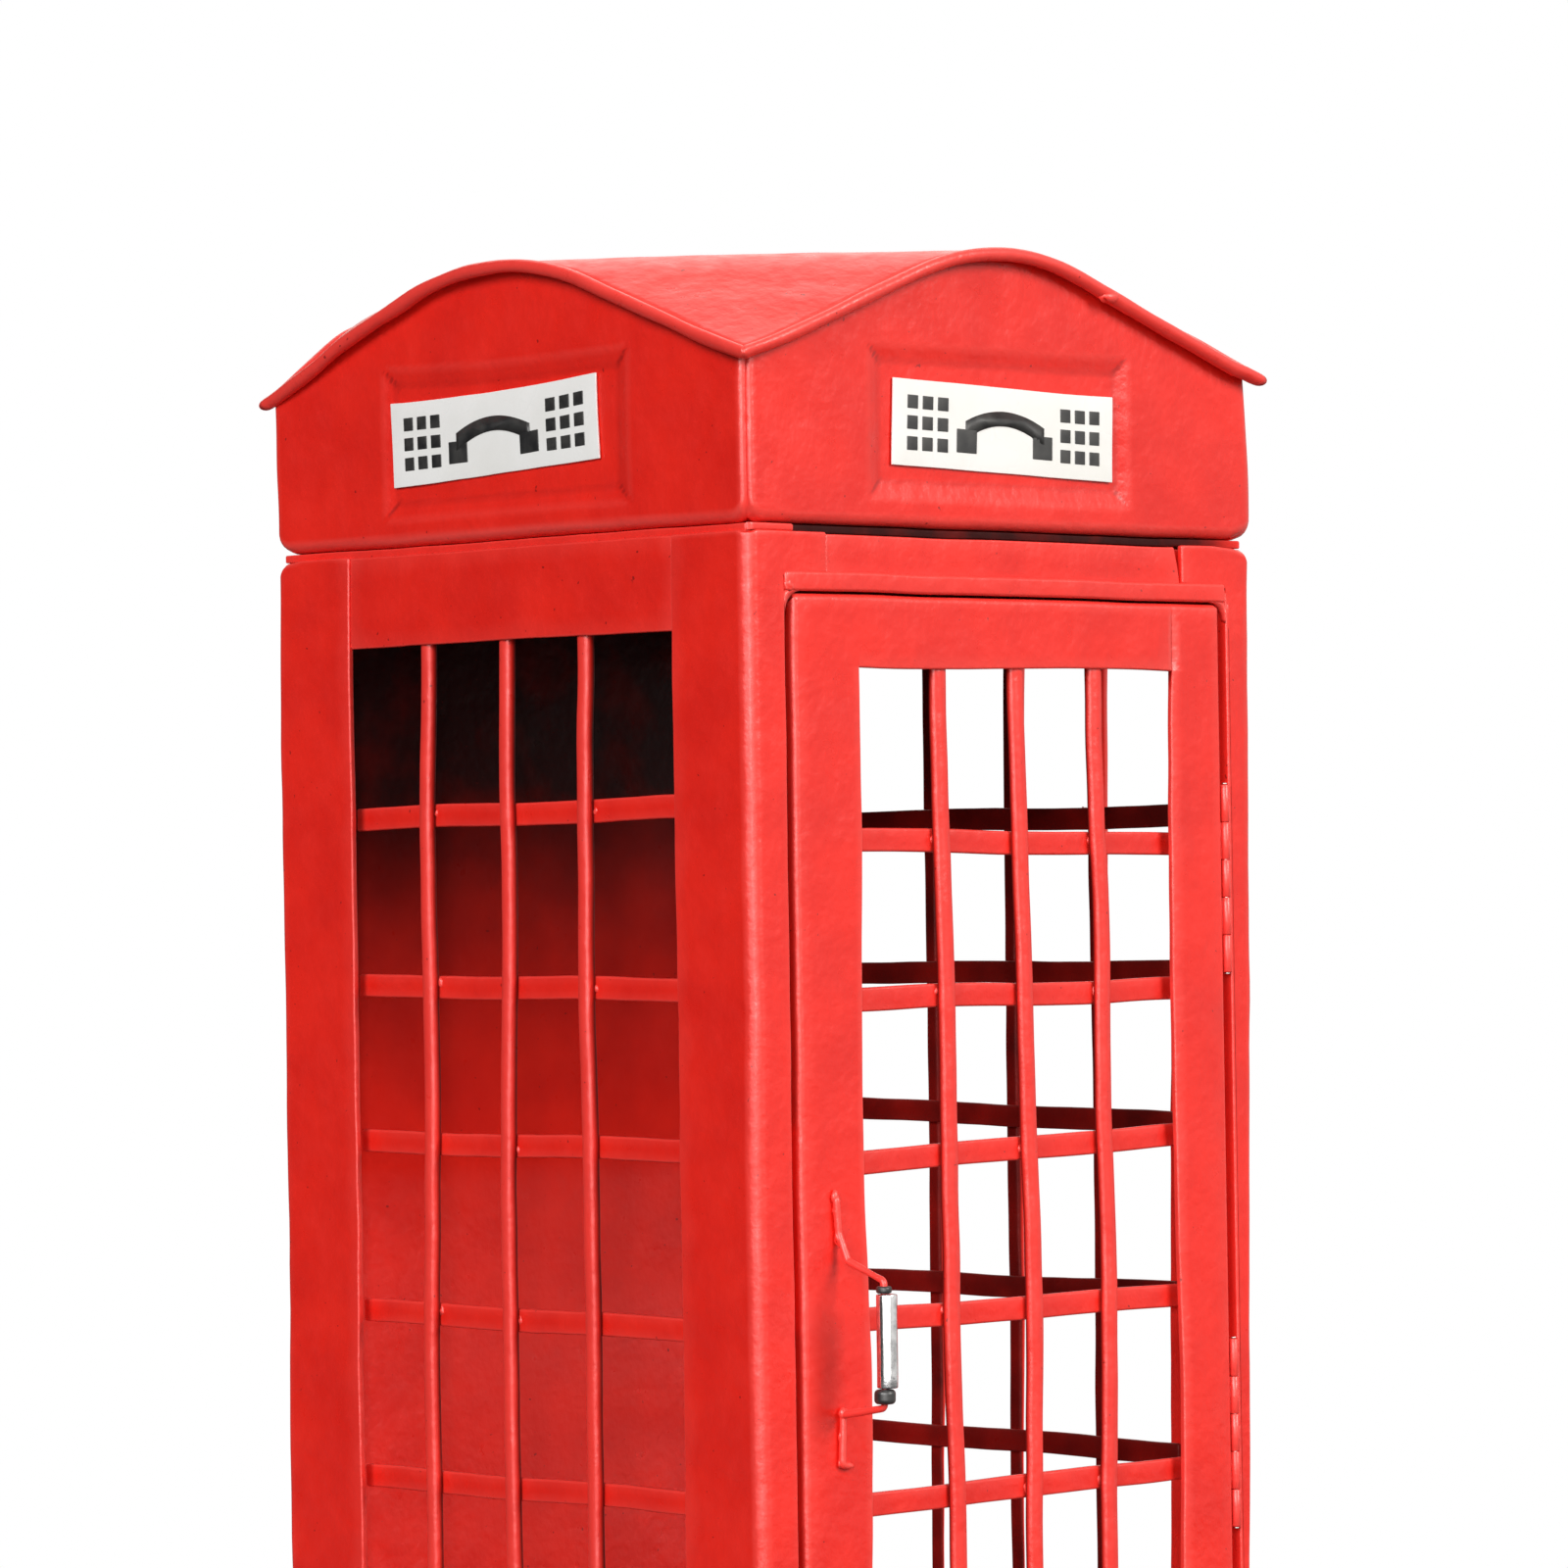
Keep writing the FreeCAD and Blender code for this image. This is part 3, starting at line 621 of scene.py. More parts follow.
def front_header():
    """Recessed plate with a folded, slightly proud lower edge."""
    face = -body_half + header_recess
    back = face + sheet
    shape = Shape().box((hem_low[0], hem_low[1], opening_top), (hem_high[0], back, header_head), soft_edge)
    points, faces = rounded_box((-body_half + post_head_left + 0.15, face, header_head - 0.8),
                                (body_half - post_head_right - 0.2, back, hem_high[2]), step=(4, 3, 4))
    # its hinge-side end leans away from the post, which laps behind the slit
    points[:, 0] -= smooth(points[:, 0], 20, 44) * 1.3 * smooth(points[:, 2], header_head, body_top)
    shape.add(points, faces)
    slit_left, slit_right = 40, 50
    shape.box((slit_left, back, header_head), (slit_right, back + 0.8, body_top - 0.6), 0.3, (4, 1, 4))
    for end, toward in ((hem_low[0], 1), (hem_high[0], -1)):
        shape.add(*doorway_gusset(end, toward))
    # lump of paint on the hem's handle-side end
    shape.lump((hem_low[0] + 1.0, -body_half - 0.05, opening_top + 0.9), (1.1, 0.45, 1.0), 11)
    skin("header_front", shape, painted_shade=painted_shade_past_front)


def floor_tray():
    """Floor plate with its edges folded up."""
    low, high = span("floor_tray")
    radius, step = 0.5, (6, 6, 3)
    shape = Shape().box(low, (high[0], high[1], sheet), radius, step)
    for axis in (0, 1):
        for inner, outer in ((low[axis], low[axis] + sheet), (high[axis] - sheet, high[axis])):
            start, end = low.copy(), high.copy()
            start[axis], end[axis] = inner, outer
            shape.box(start, end, radius, step)
    skin("floor_tray", shape)


def body_sheets():
    step = (4, 4, 4)
    for node in ("header_left", "header_right", "lower_panel_left", "lower_panel_right", "door_sill"):
        skin(node, Shape().box(*span(node), step=step), painted_shade=painted_shade_inside)
    low, high = span("back_panel")

    # shade painted on the panel's inner face only
    def painted_shade_on_inner_face(points):
        return painted_shade_inside(points) * smooth(-points[:, 1], -high[1] + 0.4 * sheet, -high[1] + 0.8 * sheet)

    # its upper edge was dressed up against the roof's seat
    back = Shape().box(low, (high[0], high[1], seat_low[2] + 0.2), step=step)
    skin("back_panel", back, painted_shade=painted_shade_on_inner_face)
    front_header()
    floor_tray()


# ---- window bars ----
# how far each upright wanders sideways from straight, as (height, shift)
wander = {
    "left": {
        "rear": [(264, -0.7), (244, 0.2), (224, 0.3), (190, -0.2), (165, 0.3), (140, 1.1), (118, 0.8),
                 (40, 0.4)],
        "middle": [(264, -1.0), (244, -0.6), (220, -0.5), (195, 0.2), (173, 0.9), (140, 1.0), (120, 0.4),
                   (40, 0)],
        "front": [(264, -0.4), (244, 0.4), (205, 0.4), (184, -0.1), (158, -0.2), (115, 0.1), (40, 0)],
    },
    "right": {
        "rear": [(264, 0.3), (200, -0.2), (120, 0.2)],
        "middle": [(264, -0.2), (190, 0.3), (120, 0)],
        "front": [(264, 0.2), (180, -0.3), (120, 0.1)],
    },
    "door": {
        "left": [(250, -1.1), (205, -0.2), (172, 0.1), (163, 0.5), (146, 0.2), (117, 0.7), (40, 0.2)],
        "middle": [(250, -1.4), (212, -0.5), (193, -0.2), (170, 0.6), (145, 1.0), (115, 0.1), (40, 0)],
        "right": [(253, -1.0), (234, -0.4), (219, 0.5), (190, 0.0), (166, 0.8), (143, 0.3), (115, -0.2),
                  (40, 0)],
    },
}
# how much the end of each crossbar at +Y, in the door at +X, is raised, from the lowest bar to the highest
crossbar_tilts = {
    "right": [0.1, -0.1, 0.2, 0.0, 0.85, 0.0, 0.1],
    "door": [0.0, 0.2, 0.4, 0.1, 1.0, 0.0, -0.7],
}


def wandering(heights, course):
    """Sideways shift at the given heights, smooth between the course's points."""
    places, shifts = np.array(sorted(course), float).T
    fine = np.arange(0, 300, 2.0)
    kernel = np.hanning(9)
    padded = np.pad(np.interp(fine, places, shifts), 4, mode="edge")
    return np.interp(heights, fine, np.convolve(padded, kernel / kernel.sum(), mode="valid"))


def upright(node, body, axis, course):
    """Glazing strip, a little crowned, that wanders along the given axis."""
    low, high = span(node)
    depth = 1 - axis
    outward = -1 if low[depth] < 0 else 1
    points, faces = rounded_box(low, high, 0.5, (0.5, 0.5, 2.5))
    across = (2 * points[:, axis] - low[axis] - high[axis]) / (high[axis] - low[axis])
    outer_half = smooth(outward * (2 * points[:, depth] - low[depth] - high[depth]), -0.2, 0.2)
    points[:, depth] += outward * 0.55 * outer_half * (1 - across ** 2)
    points[:, axis] += wandering(points[:, 2], course)
    skin(node, Shape().add(points, faces), body, "_bar", painted_shade=painted_shade_behind(node, depth))


def crossbars(node, body, axis, uprights, tilts):
    """Level strips along the axis, with a lump of weld where each crosses an upright."""
    low, high = span(node)
    shape = Shape()
    depth = 1 - axis
    outward, face = (-1, low[depth]) if low[depth] < 0 else (1, high[depth])
    seed = sum(ord(letter) for letter in node)
    # the CAD mesh holds the lower and the upper side of every bar
    levels = sorted({round(v.co.z / mm, 2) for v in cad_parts[node].data.vertices})
    for count, (bottom, top) in enumerate(zip(levels[0::2], levels[1::2])):
        start, end = low.copy(), high.copy()
        start[2], end[2] = bottom, top
        if node == "right_crossbars":
            start[axis] -= far_bar_lap
        points, faces = rounded_box(start, end, 0.45, (2.5, 2.5, 1.5))
        rng = np.random.default_rng(seed + count)
        tilt = tilts[count] if tilts else rng.uniform(-0.3, 0.3)
        along = points[:, axis] / high[axis]
        points[:, 2] += tilt * along + 0.15 * np.sin(points[:, axis] / 9 + rng.uniform(0, 6))
        shape.add(points, faces)
        height = (bottom + top) / 2
        for place, course in uprights:
            crossing = place + wandering(height, course)
            side = rng.choice((-1, 1))
            lump, size = np.empty(3), np.empty(3)
            lump[axis] = crossing + side * rng.uniform(1.2, 1.6)
            lump[depth] = face - outward * 0.25
            lump[2] = height + rng.uniform(-0.9, 0.9) + tilt * crossing / high[axis]
            size[axis] = rng.uniform(0.5, 0.8)
            size[depth] = rng.uniform(0.4, 0.6)
            size[2] = rng.uniform(0.7, 1.2)
            shape.lump(lump, size, seed + count * 10 + side)
    skin(node, shape, body, "_bars", painted_shade=painted_shade_behind(node, depth))


def windows():
    for side, body, axis in (("left", "cabinet", 1), ("right", "cabinet", 1), ("door", "door", 0)):
        uprights = []
        for name, course in wander[side].items():
            node = f"{side}_upright_{name}"
            upright(node, body, axis, course)
            uprights.append((sum(span(node))[axis] / 2, course))
        crossbars(f"{side}_crossbars", body, axis, uprights, crossbar_tilts.get(side))


# ---- door ----
def door_frame():
    """One punched sheet: window opening, side edges and top and bottom edges folded back."""
    left, _, bottom = door_low
    right, _, top = door_high
    open_left, open_right, open_bottom, open_top = door_window
    rim = edge_round * (1 - np.sin(np.radians([90, 60, 30, 0])))
    arc = door_fold * math.pi / 2
    bend = np.linspace(0, arc, 7)
    reach = door_flange - door_fold

    def along(start, end, hole_start, hole_end, step=3.0):
        """Unfolded places across the door: flange, fold, face, opening, face, fold, flange."""
        face_start, face_end = start + door_fold, end - door_fold
        sheet_start, sheet_end = face_start - arc - reach, face_end + arc + reach
        parts = [sheet_start + rim, face_start - arc + bend, hole_start - rim, hole_end + rim,
                 face_end + bend, sheet_end - rim,
                 np.arange(sheet_start + 1, face_start - arc, 1.3),
                 np.arange(face_end + arc + 1, sheet_end - 0.5, 1.3),
                 np.arange(face_start + step, hole_start - 0.6, step),
                 np.arange(hole_start + step, hole_end - 0.6, step),
                 np.arange(hole_end + step, face_end - 0.6, step)]
        return np.unique(np.round(np.concatenate(parts), 4))

    us = along(left, right, open_left, open_right)
    vs = along(bottom, top, open_bottom, open_top)

    def keep(u, v):
        in_opening = (u > open_left) & (u < open_right) & (v > open_bottom) & (v < open_top)
        side_flange = (u < left + door_fold - arc / 2) | (u > right - door_fold + arc / 2)
        level_flange = (v < bottom + door_fold - arc / 2) | (v > top - door_fold + arc / 2)
        return ~in_opening & ~(side_flange & level_flange)

    def edge_distance(u, v):
        out_u = np.maximum(open_left - u, u - open_right)
        out_v = np.maximum(open_bottom - v, v - open_top)
        diagonal = (out_u > 0) & (out_v > 0)
        to_opening = np.where(diagonal, np.hypot(out_u, out_v), np.maximum(out_u, out_v))
        side = np.minimum(u - us[0], us[-1] - u)
        level = np.minimum(v - vs[0], vs[-1] - v)
        return np.minimum(to_opening, np.minimum(side, level))

    def bent(value, start, end, depth):
        """Place across the face and depth behind it, for an unfolded place."""
        low_turn = np.clip((start + door_fold - value) / door_fold, 0, math.pi / 2)
        high_turn = np.clip((value - end + door_fold) / door_fold, 0, math.pi / 2)
        turn = low_turn + high_turn
        way = np.where(low_turn > 0, -1.0, 1.0)
        core = np.clip(value, start + door_fold, end - door_fold)
        past = np.maximum(start + door_fold - arc - value, value - end + door_fold - arc)
        radius = np.maximum(door_fold - depth, 0.03)
        return core + way * radius * np.sin(turn), door_fold - radius * np.cos(turn) + np.maximum(past, 0)

    def place(u, v, depth):
        x, back_x = bent(u, left, right, depth)
        z, back_z = bent(v, bottom, top, depth)
        back = np.maximum(back_x, back_z)
        corner = rounding(np.minimum(x - left, right - x), door_corner)
        above = z - (top - door_corner)
        z = np.where(above > 0, top - door_corner + above * corner / door_corner, z)
        z = z + door_lift * smooth(v, top - 12, top - 2)
        # the opening was cut by hand: its edges are not quite straight
        x = x + 0.45 * hump(u, open_left, 3) * np.sin(v / 17)
        x = x + 0.4 * hump(u, open_right, 3) * np.sin(v / 21 + 1)
        z = z + 0.3 * hump(v, open_top, 3) * np.sin(u / 15)
        # filled seam between the top rail and the hinge-side stile
        seam = hump(u, open_right + 0.18, 0.3) * smooth(v, open_top, open_top + 0.6)
        back = back + seam * np.interp(v, [open_top, open_top + 4, top - 3, top], [0.35, 0.3, 0.12, 0])
        return np.stack([x, -body_half + back, z], axis=1)

    shape = Shape().add(*welded(*shell(us, vs, place, edge_distance, keep)))
    # weld lump on the handle-side edge
    shape.lump((left + 0.7, -body_half + 1.2, 129.5), (0.6, 0.8, 1.6), 5)
    piece("door_sheet_skin", shape, paint, "door",
          ["door_stile_left", "door_stile_right", "door_edge_left", "door_edge_right",
           "door_top_rail", "door_bottom_panel"])


# ---- hinges ----
knuckle_radius = 0.75
knuckles = 5                # the frame leaf has three of them, the door leaf two
knuckle_gap = 0.05          # at each end of a knuckle
leaf_thickness = 0.4


def barrel(centre, bore, bottom, top, soft=0.12):
    """Knuckle with softened ends and its bore."""
    return lathe(centre, [(bore, bottom), (knuckle_radius - soft, bottom), (knuckle_radius, bottom + soft),
                          (knuckle_radius, top - soft), (knuckle_radius - soft, top), (bore, top)], 28)


def hinge(name):
    """Pin with its two heads, and the frame's and the door's leaf with their knuckles."""
    pin = "hinge_pin_" + name
    low, high = span(pin)
    axis = (low + high)[:2] / 2
    radius = (high[0] - low[0]) / 2
    head = radius + 0.08
    # one end's outline, as (radius, distance from the end)
    half = [(0, 0), (head - 0.1, 0), (head, 0.1), (head, 0.2), (radius, 0.25)]
    profile = [(r, low[2] + z) for r, z in half] + [(r, high[2] - z) for r, z in reversed(half)]
    piece(pin + "_wire", Shape().add(*lathe(axis, profile, 20)), wire, "cabinet", [pin])
    bottom = low[2] + 0.3
    pitch = (high[2] - low[2] - 0.6) / knuckles
    for kind, first, body, bore in (("frame", 0, "cabinet", radius), ("door", 1, "door", radius + 0.05)):
        node = f"hinge_{kind}_leaf_{name}"
        leaf_low, leaf_high = span(node)
        if kind == "frame":
            left, right = leaf_high[0] - leaf_thickness, leaf_high[0]
        else:
            left, right = leaf_low[0], leaf_low[0] + leaf_thickness
        shape = Shape().box((left, axis[1] + knuckle_radius + 0.15, bottom),
                            (right, leaf_high[1], bottom + knuckles * pitch), 0.15, (2, 2, 3))
        for index in range(first, knuckles, 2):
            start = bottom + index * pitch + knuckle_gap
            end = bottom + (index + 1) * pitch - knuckle_gap
            shape.add(*barrel(axis, bore, start, end))
            shape.box((left, axis[1] + 0.3, start), (right, axis[1] + knuckle_radius + 0.3, end),
                      0.1, (2, 2, 3))
        skin(node, shape, body, "_plate")


# ---- catch ----
def catch():
    low, high = span("catch_bracket")
    magnet_low, magnet_high = span("catch_magnet")
    end = magnet_low[0]
    shape = Shape().box((end - 0.8, low[1] + 0.05, low[2]), (end, high[1], high[2]), 0.3, (1, 3, 3))
    shape.box(low, (end - 0.2, low[1] + 0.8, high[2]), 0.3, (2, 1, 3))
    for height in (low[2] + 2.5, high[2] - 3):
        shape.lump((end - 1.0, low[1] + 0.9, height), (1.1, 0.8, 1.8), int(height))
    skin("catch_bracket", shape, end="_plate")
    block = Shape().box(magnet_low, magnet_high, 0.25, (2, 2, 3))
    piece("catch_magnet_block", block, ferrite, "cabinet", ["catch_magnet"])


# ---- handle ----
def bent_route(corners, radius, step=0.35):
    """Points along straight runs with an arc at every inner corner."""
    corners = np.array(corners, float)
    route = [corners[0]]

    def run_to(end):
        gap = end - route[-1]
        count = max(1, int(np.linalg.norm(gap) / step))
        route.extend([end - gap * (1 - i / count) for i in range(1, count + 1)])

    for before, corner, after in zip(corners, corners[1:], corners[2:]):
        inward = (before - corner) / np.linalg.norm(before - corner)
        outward = (after - corner) / np.linalg.norm(after - corner)
        half_angle = math.acos(float(np.clip(inward @ outward, -1, 1))) / 2
        setback = radius / math.tan(half_angle)
        first = corner + inward * setback
        run_to(first)
        middle = (inward + outward) / np.linalg.norm(inward + outward)
        centre = corner + middle * radius / math.sin(half_angle)
        a, b = first - centre, corner + outward * setback - centre
        sweep = math.acos(float(np.clip(a @ b / radius ** 2, -1, 1)))
        for share in np.linspace(0, 1, 8)[1:]:
            between = math.sin((1 - share) * sweep) * a + math.sin(share * sweep) * b
            route.append(centre + between / math.sin(sweep))
    run_to(corners[-1])
    return np.array(route)


def ring(node, centre, bore, soft, slimmer=0):
    """Turned ring or tube with rounded outer edges."""
    low, high = span(node)
    outer = (high[0] - low[0]) / 2 - slimmer
    bottom, top = low[2], high[2]
    arc = [(outer - soft + soft * math.cos(t), math.sin(t) * soft) for t in np.linspace(0, math.pi / 2, 5)]
    upper = [(r, top - soft + h) for r, h in arc]
    lower = [(r, bottom + soft - h) for r, h in reversed(arc)]
    middle = [(outer, z) for z in np.linspace(bottom + soft, top - soft, 8)[1:-1]]
    return Shape().add(*lathe(centre, [(bore, bottom), *lower, *middle, *upper, (bore, top)]))


def handle():
    rod_low, rod_high = span("handle_rod")
    sleeve_low, sleeve_high = span("grip_sleeve")
    x, y = (sleeve_low + sleeve_high)[:2] / 2
    rod = (rod_high[0] - rod_low[0]) / 2
    foot = -body_half - rod
    # the wire's bends from its upper end to its lower end, as (shift in x, y, z)
    bends = [(-1.5, foot, rod_high[2] - 0.4), (-1.2, foot, 168.0), (-1.0, foot - 1.8, 163.4),
             (-0.6, y, 160.4), (-0.6, y, 157.5), (0, y, 155.5), (0, y, 145.5), (-0.6, y, 143.5),
             (-0.7, y, 139.6), (-0.9, foot, 138.0), (-1.2, foot, 129.8), (1.2, foot, rod_low[2] + 0.6)]
    route = bent_route([(x + shift, at_y, at_z) for shift, at_y, at_z in bends], 0.8)
    thick = rod * (1 + 0.10 * waves(route, 9, 3))
    in_sleeve = (route[:, 2] > sleeve_low[2] - 0.5) & (route[:, 2] < sleeve_high[2] + 0.5)
    thick *= np.where(in_sleeve, 0.9, 1.0)
    ends = np.minimum(np.arange(len(route)), np.arange(len(route))[::-1])
    shape = tube(route, thick * np.minimum(1, 0.5 + ends * 0.25), 16)
    # paint and weld lumps where the wire lies on the door, as (shift in x, depth, z, size)
    lumps = [(-1.5, 0.2, 174.0, (0.9, 0.5, 1.2)), (-1.4, 0.2, 171.6, (0.7, 0.5, 1.0)),
             (-1.2, 0, 167.2, (0.75, 0.7, 1.5)), (-0.9, 0, 138.2, (0.9, 0.7, 0.9)),
             (-1.0, 0.25, 134.5, (0.7, 0.45, 1.4)), (-1.1, 0.25, 130.2, (0.8, 0.45, 0.9))]
    for count, (shift, deeper, z, size) in enumerate(lumps):
        shape.lump((x + shift, foot + deeper, z), size, 40 + count)
    skin("handle_rod", shape, "door", "_wire")
    tube_ring = ring("grip_sleeve", (x, y), rod + 0.5, 0.25)
    piece("grip_sleeve_tube", tube_ring, chrome, "grip", ["grip_sleeve"])
    for node, soft, slimmer in (("grip_ring_top", 0.4, 0.6), ("grip_ring_bottom", 0.7, 0.1)):
        band = ring(node, (x - 0.6, y), rod, soft, slimmer)
        piece(node + "_band", band, rubber, "door", [node])


# ---- roof ----
quarter_turns = {"front": 0, "right": 1, "rear": 2, "left": 3}


def turned(points, side):
    """Points of the front side turned about the vertical axis to another side."""
    c, s = ((1, 0), (0, 1), (-1, 0), (0, -1))[quarter_turns[side]]
    x, y, z = np.asarray(points, float).T
    return np.stack([c * x - s * y, s * x + c * y, z], axis=1)


def roof_sheet():
    """Square sheet, level in the middle, its corners bent down."""
    places = np.linspace(-roof_reach, roof_reach, 97)

    def place(u, v, depth):
        z = crown_top - bead_proud - roof_drop(np.abs(u) + np.abs(v) - roof_reach)
        return np.stack([u, v, z - depth], axis=1)

    skin("roof_sheet", Shape().add(*shell(places, places, place)), moved=roof_uneven)


def roof_edge(side):
    """Rolled bead along one side, mitred at both corners, a little lumpy under its paint."""
    xs = np.linspace(-bead_line, bead_line, 161)
    middle_z = crown_top - bead_radius - roof_drop(np.abs(xs))
    slope = np.gradient(middle_z, xs)
    lean = 1 / np.sqrt(1 + slope ** 2)
    line = np.stack([xs, np.full_like(xs, -bead_line), middle_z], axis=1)
    radius = bead_radius * (0.97 + 0.06 * waves(turned(line, side), 17, 60 + quarter_turns[side]))
    turn = np.linspace(0, math.tau, 18, endpoint=False)
    out = np.outer(radius, np.cos(turn))
    up = np.outer(radius, np.sin(turn))
    points = np.stack([(xs[:, None] - up * (slope * lean)[:, None]) * (1 + out / bead_line),
                       -bead_line - out, middle_z[:, None] + up * lean[:, None]], axis=2)
    # the two end rings lie on the mitre
    for end, way in ((0, -1), (-1, 1)):
        points[end, :, 0] = way * (bead_line + out[end])
    shape = Shape().grid(points, wrap=True)
    shape.points = [turned(shape.all_points(), side)]
    if side == "front":
        shape.lump((25, -bead_line - 0.5, crown_top - 1.6 - float(roof_drop(25.0))), (2.2, 0.9, 1.1), 77)
    skin(f"roof_edge_{side}", shape, end="_bead", moved=roof_uneven)


recess_middle = 303.0       # height of the pressed recess in each fascia panel
recess_half = (31.5, 13.0)
recess_bevel = 3.0
recess_depth = 0.8


def fascia(side):
    """Arched panel with a pressed recess, rounded lower corners and folded lower edge."""
    end_fold, lower_corner, hem = 1.0, 3.2, 2.0
    most_hem_depth = 1.7
    turns = end_fold * (1 - np.sin(np.radians([90, 72, 54, 36, 18, 0])))
    inner = np.linspace(-fascia_half + end_fold, fascia_half - end_fold, 145)
    us = np.unique(np.round(np.concatenate([-fascia_half + turns, inner, fascia_half - turns]), 4))

    def place(u, t, depth):
        away = np.abs(u)
        bottom = roof_bottom + 0.2 + lower_corner - rounding(fascia_half - away, lower_corner)
        top = crown_top - (bead_proud + sheet + 0.05) - roof_drop(away - (roof_reach - cap_half))
        z = bottom + t * (top - bottom)
        inside = np.minimum(recess_half[0] - away, recess_half[1] - np.abs(z - recess_middle))
        pressed = recess_depth * smooth(inside, -0.6, recess_bevel + 0.4)
        puff = 0.5 * hump(u, 0, 46) * hump(z, 306, 26)
        folded = end_fold - rounding(fascia_half - away, end_fold)
        folded = folded + np.minimum(hem - rounding(z - bottom, hem), most_hem_depth)
        return np.stack([u, -cap_half + 0.3 - puff + pressed + depth + folded, z], axis=1)

    points, faces = shell(us, np.linspace(0, 1, 61), place)
    skin(f"roof_fascia_{side}", Shape().add(turned(points, side), faces), moved=fascia_uneven)


sign_turns = {"front": -1.5, "left": 2.4, "rear": 0.8, "right": -0.6}
sign_lap = 1.4              # the left sign was stuck on over the bevel of its recess
sign_half = (26.7, 7.3)
key_pad_place = 18.5        # from the sign's middle
key_pitch = (3.6, 3.5)
key_half = (1.25, 1.15)
handset_half = 9.5
cap_place = (9.2, -2.4)     # the cap at the handset's end
cap_size = (2.4, 2.0)


def sign(side):
    """White plate lying in the recess, turned a little. Its generic print is a handset between key pads."""
    node = f"sign_{side}"
    middle = sum(span(node)) / 2
    across = {"front": middle[0], "right": middle[1], "rear": -middle[0], "left": -middle[1] - sign_lap}[side]
    face = -cap_half + 0.6
    near, far = face - 0.47, face - 0.2
    c, s = math.cos(math.radians(sign_turns[side])), math.sin(math.radians(sign_turns[side]))

    def tilted(points, faces):
        x, y, z = np.asarray(points, float).T
        return turned(np.stack([c * x - s * z + across, y, s * x + c * z + middle[2]], axis=1), side), faces

    def block(centre, half, front, back, step):
        return tilted(*rounded_box((centre[0] - half[0], front, centre[1] - half[1]),
                                   (centre[0] + half[0], back, centre[1] + half[1]), 0.12, step))

    plate = Shape().add(*block((0, 0), sign_half, face - 0.35, face, (3, 1, 3)))
    piece(node + "_plate", plate, white, "cabinet", [node], fascia_uneven)
    marks = Shape()
    for pad, column, row in product((-1, 1), (-1, 0, 1), (-1, 0, 1)):
        centre = (pad * key_pad_place + column * key_pitch[0], row * key_pitch[1])
        marks.add(*block(centre, key_half, near, far, (1, 1, 1)))
    # the handset's bowed grip, then its caps
    xs = np.linspace(-handset_half, handset_half, 25)
    bow = (xs / handset_half) ** 2
    line = 2.0 - 2.6 * bow
    half = 1.25 + 0.35 * bow
    outline = [*zip(xs, line + half), *zip(xs[::-1], (line - half)[::-1])]
    marks.add(*tilted(*prism([(x, near, z) for x, z in outline], [(x, far, z) for x, z in outline])))
    for way in (-1, 1):
        marks.add(*block((way * cap_place[0], cap_place[1]), cap_size, near, far, (1, 1, 1)))
    piece(node + "_print", marks, ink, "cabinet", (), fascia_uneven)


def roof_seat():
    """Thin plate between body and roof, with a rounded ear at each corner."""
    front = 58.5                # in front the plate stops short of the header's face
    reach = body_half - 1.0     # on the other sides it comes almost out to the faces
    ear = 10.5
    ear_corner = 1.2
    drawn_in = 2.2              # only the front left ear reaches out fully
    shape = Shape().box((-reach, -front, seat_low[2] - 0.2), (reach, reach, seat_high[2]), 0.3, (4, 4, 1))

    # shade painted under the roof, fading out towards the plate's side and rear edges
    def painted_shade_under_roof(points):
        outer = np.maximum(np.abs(points[:, 0]), points[:, 1])
        return painted_shade_inside(points) * (1 - smooth(outer, 54, 56))

    for side in quarter_turns:
        tip = seat_high[0] if side == "front" else seat_high[0] - drawn_in
        points, faces = rounded_box((-tip, -tip, seat_low[2]), (-tip + ear, -front + 1, seat_high[2]),
                                    0.35, (0.5, 0.5, 1))
        x = points[:, 0] + tip
        y = (points[:, 1] + tip) * np.clip(0.2 + 0.15 * x, 0.2, 1)
        away = np.hypot(np.maximum(ear_corner - x, 0), np.maximum(ear_corner - y, 0))
        scale = np.where(away > ear_corner, ear_corner / np.maximum(away, 1e-6), 1)
        inside = (x < ear_corner) & (y < ear_corner)
        for axis, value in enumerate((x, y)):
            points[:, axis] = np.where(inside, ear_corner - (ear_corner - value) * scale, value) - tip
        shape.add(turned(points, side), faces)
    skin("roof_seat", shape, end="_plate", painted_shade=painted_shade_under_roof)


def roof():
    roof_sheet()
    for side in quarter_turns:
        roof_edge(side)
        fascia(side)
        sign(side)
    roof_seat()


# ---- camera, floor and light ----
def camera():
    """The camera stands off the front left corner, a little above the middle."""
    width = 2 * body_half * mm
    distance = 9.636 * width
    height = 1.874 * width
    azimuth, yaw, pitch, roll = (math.radians(angle) for angle in (46.379, 46.199, 0.925, -0.871))
    data = bpy.data.cameras.new("camera")
    data.sensor_width = 36
    data.lens = 150.435
    data.clip_start = 0.01
    data.clip_end = 100
    forward = Vector((math.cos(yaw) * math.cos(pitch), math.sin(yaw) * math.cos(pitch), math.sin(pitch)))
    right = forward.cross(Vector((0, 0, 1))).normalized()
    up = right.cross(forward)
    level = math.cos(roll) * right + math.sin(roll) * up
    upward = -math.sin(roll) * right + math.cos(roll) * up
    matrix = Matrix((level, upward, -forward)).transposed().to_4x4()
    matrix.translation = Vector((-distance * math.cos(azimuth), -distance * math.sin(azimuth), height))
    thing = placed("camera", data)
    thing.matrix_world = matrix
    bpy.context.scene.camera = thing


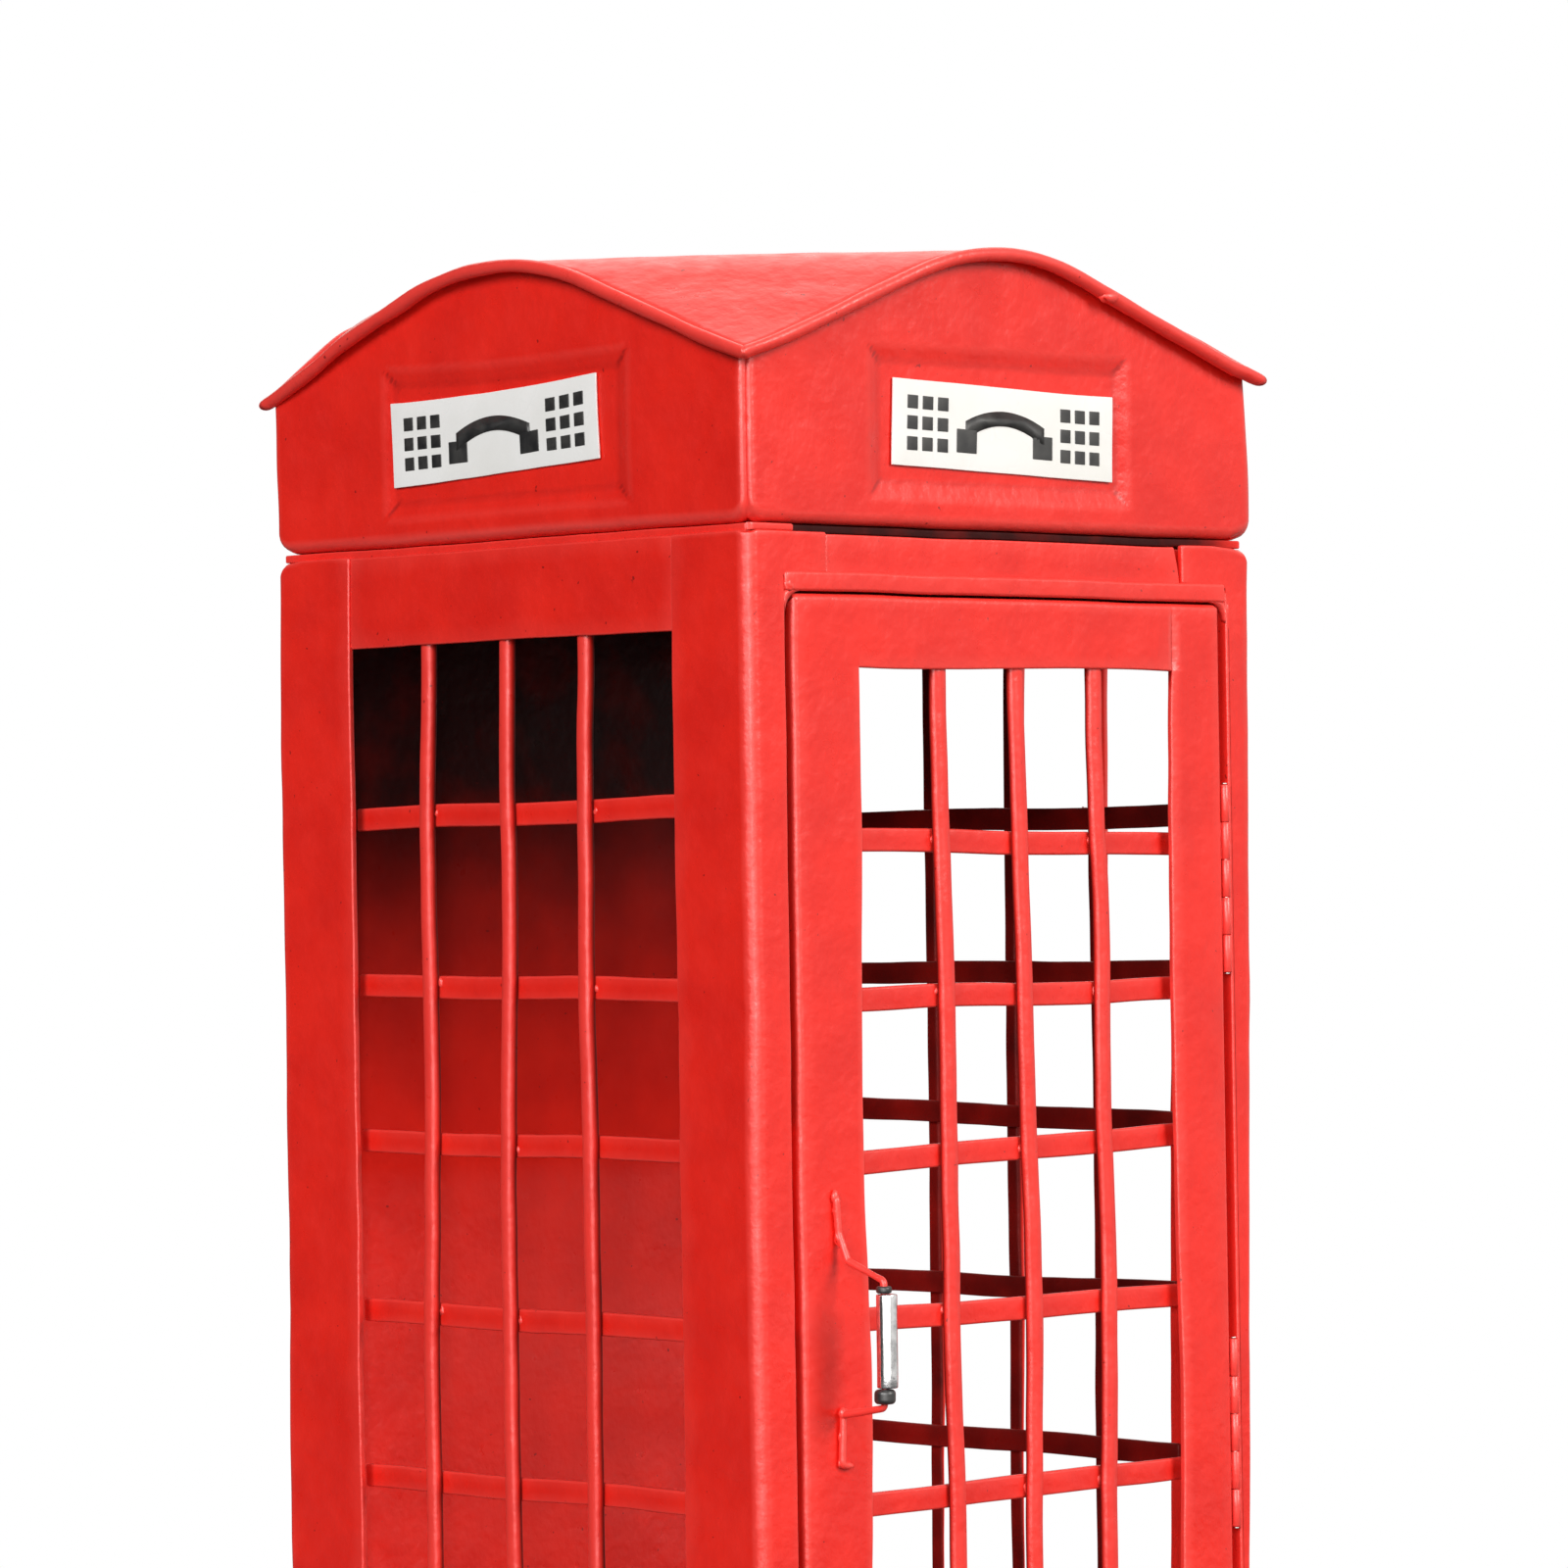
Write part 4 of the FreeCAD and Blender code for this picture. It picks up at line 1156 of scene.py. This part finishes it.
def floor(radius=0.9, corners=96, level=-0.0003):
    """Pale round floor, in metres, a little below the booth."""
    mesh = bpy.data.meshes.new("floor")
    turns = [math.tau * i / corners for i in range(corners)]
    points = [(radius * math.cos(turn), radius * math.sin(turn), level) for turn in turns]
    mesh.from_pydata(points, [], [tuple(range(corners))])
    material, tree, shader, place = fresh("floor")
    pale = mixed(tree, noise(tree, place, 3, 2), (0.88, 0.88, 0.88), (0.93, 0.93, 0.93))
    # the floor throws less light back on the booth than it shows
    seen = make(tree, "LightPath", {}).outputs["Is Camera Ray"]
    plug(tree, shader, {"Base Color": mixed(tree, seen, (0.12, 0.12, 0.12), pale), "Roughness": 0.9})
    mesh.materials.append(material)
    placed("floor", mesh)


def lamp(name, kind, direction, energy, size, distance=1.2, colour=(1, 1, 1)):
    """Lamp that shines on the booth from the given direction."""
    data = bpy.data.lights.new(name, kind)
    data.energy = energy
    data.color = colour
    if kind == "SUN":
        data.angle = size
    else:
        data.shape = "RECTANGLE"
        data.size, data.size_y = size
    thing = placed(name, data)
    way = Vector(direction).normalized()
    thing.location = Vector((0, 0, 0.19)) + way * distance
    thing.rotation_euler = way.to_track_quat("Z", "Y").to_euler()
    thing.visible_camera = False


def lighting():
    bpy.context.scene.view_settings.view_transform = "Standard"
    world = bpy.data.worlds.new("studio")
    bpy.context.scene.world = world
    world.use_nodes = True
    tree = world.node_tree
    direction = make(tree, "TexCoord", {}).outputs["Generated"]

    def glow(way, start, end, dark, bright):
        """Light that grows as the mirrored direction nears the given way."""
        nearness = make(tree, "VectorMath", {0: direction, 1: way}, operation="DOT_PRODUCT")
        return remap(tree, nearness.outputs["Value"], start, end, dark, bright)

    def either(share, first, second):
        return make(tree, "MixShader", {0: share, 1: first, 2: second}).outputs[0]

    # what shiny surfaces mirror: bright towards the front right and above, dark at the rear left,
    # and a broad soft panel off the near corner, which only the folds and rounded edges mirror
    both = make(tree, "Math", {0: glow((0.62, -0.70, 0.35), -0.2, 0.8, 0.06, 0.85),
                               1: glow((-0.72, -0.68, 0.14), 0.70, 0.95, 0.0, 4.8)}, operation="ADD")
    mirrored = make(tree, "Background", {"Color": (1, 0.98, 0.94, 1), "Strength": both.outputs[0]})
    # dull surfaces get faint light from all round, and the camera sees white
    faint = tree.nodes["Background"]
    plug(tree, faint, {"Color": (1, 1, 1, 1), "Strength": 0.06})
    seen = make(tree, "Background", {"Color": (1, 1, 1, 1), "Strength": 1.0})
    path = make(tree, "LightPath", {}).outputs
    lit = either(path["Is Glossy Ray"], faint.outputs[0], mirrored.outputs[0])
    plug(tree, tree.nodes["World Output"], {"Surface": either(path["Is Camera Ray"], lit, seen.outputs[0])})
    lamp("key", "SUN", (0.30, -0.85, 0.44), 2.75, math.radians(30), colour=(1, 0.97, 0.92))
    lamp("fill", "SUN", (-0.88, -0.22, 0.42), 2.15, math.radians(30))
    lamp("strip", "AREA", (-0.70, -0.69, 0.30), 5.5, (0.10, 0.8), 1.4)
    lamp("back", "AREA", (0.50, 0.55, 0.62), 10.5, (1.6, 1.6), 1.8, (1, 0.97, 0.90))


corner_posts()
body_sheets()
windows()
door_frame()
for hinge_name in ("top", "middle", "bottom"):
    hinge(hinge_name)
catch()
handle()
roof()
camera()
floor()
lighting()
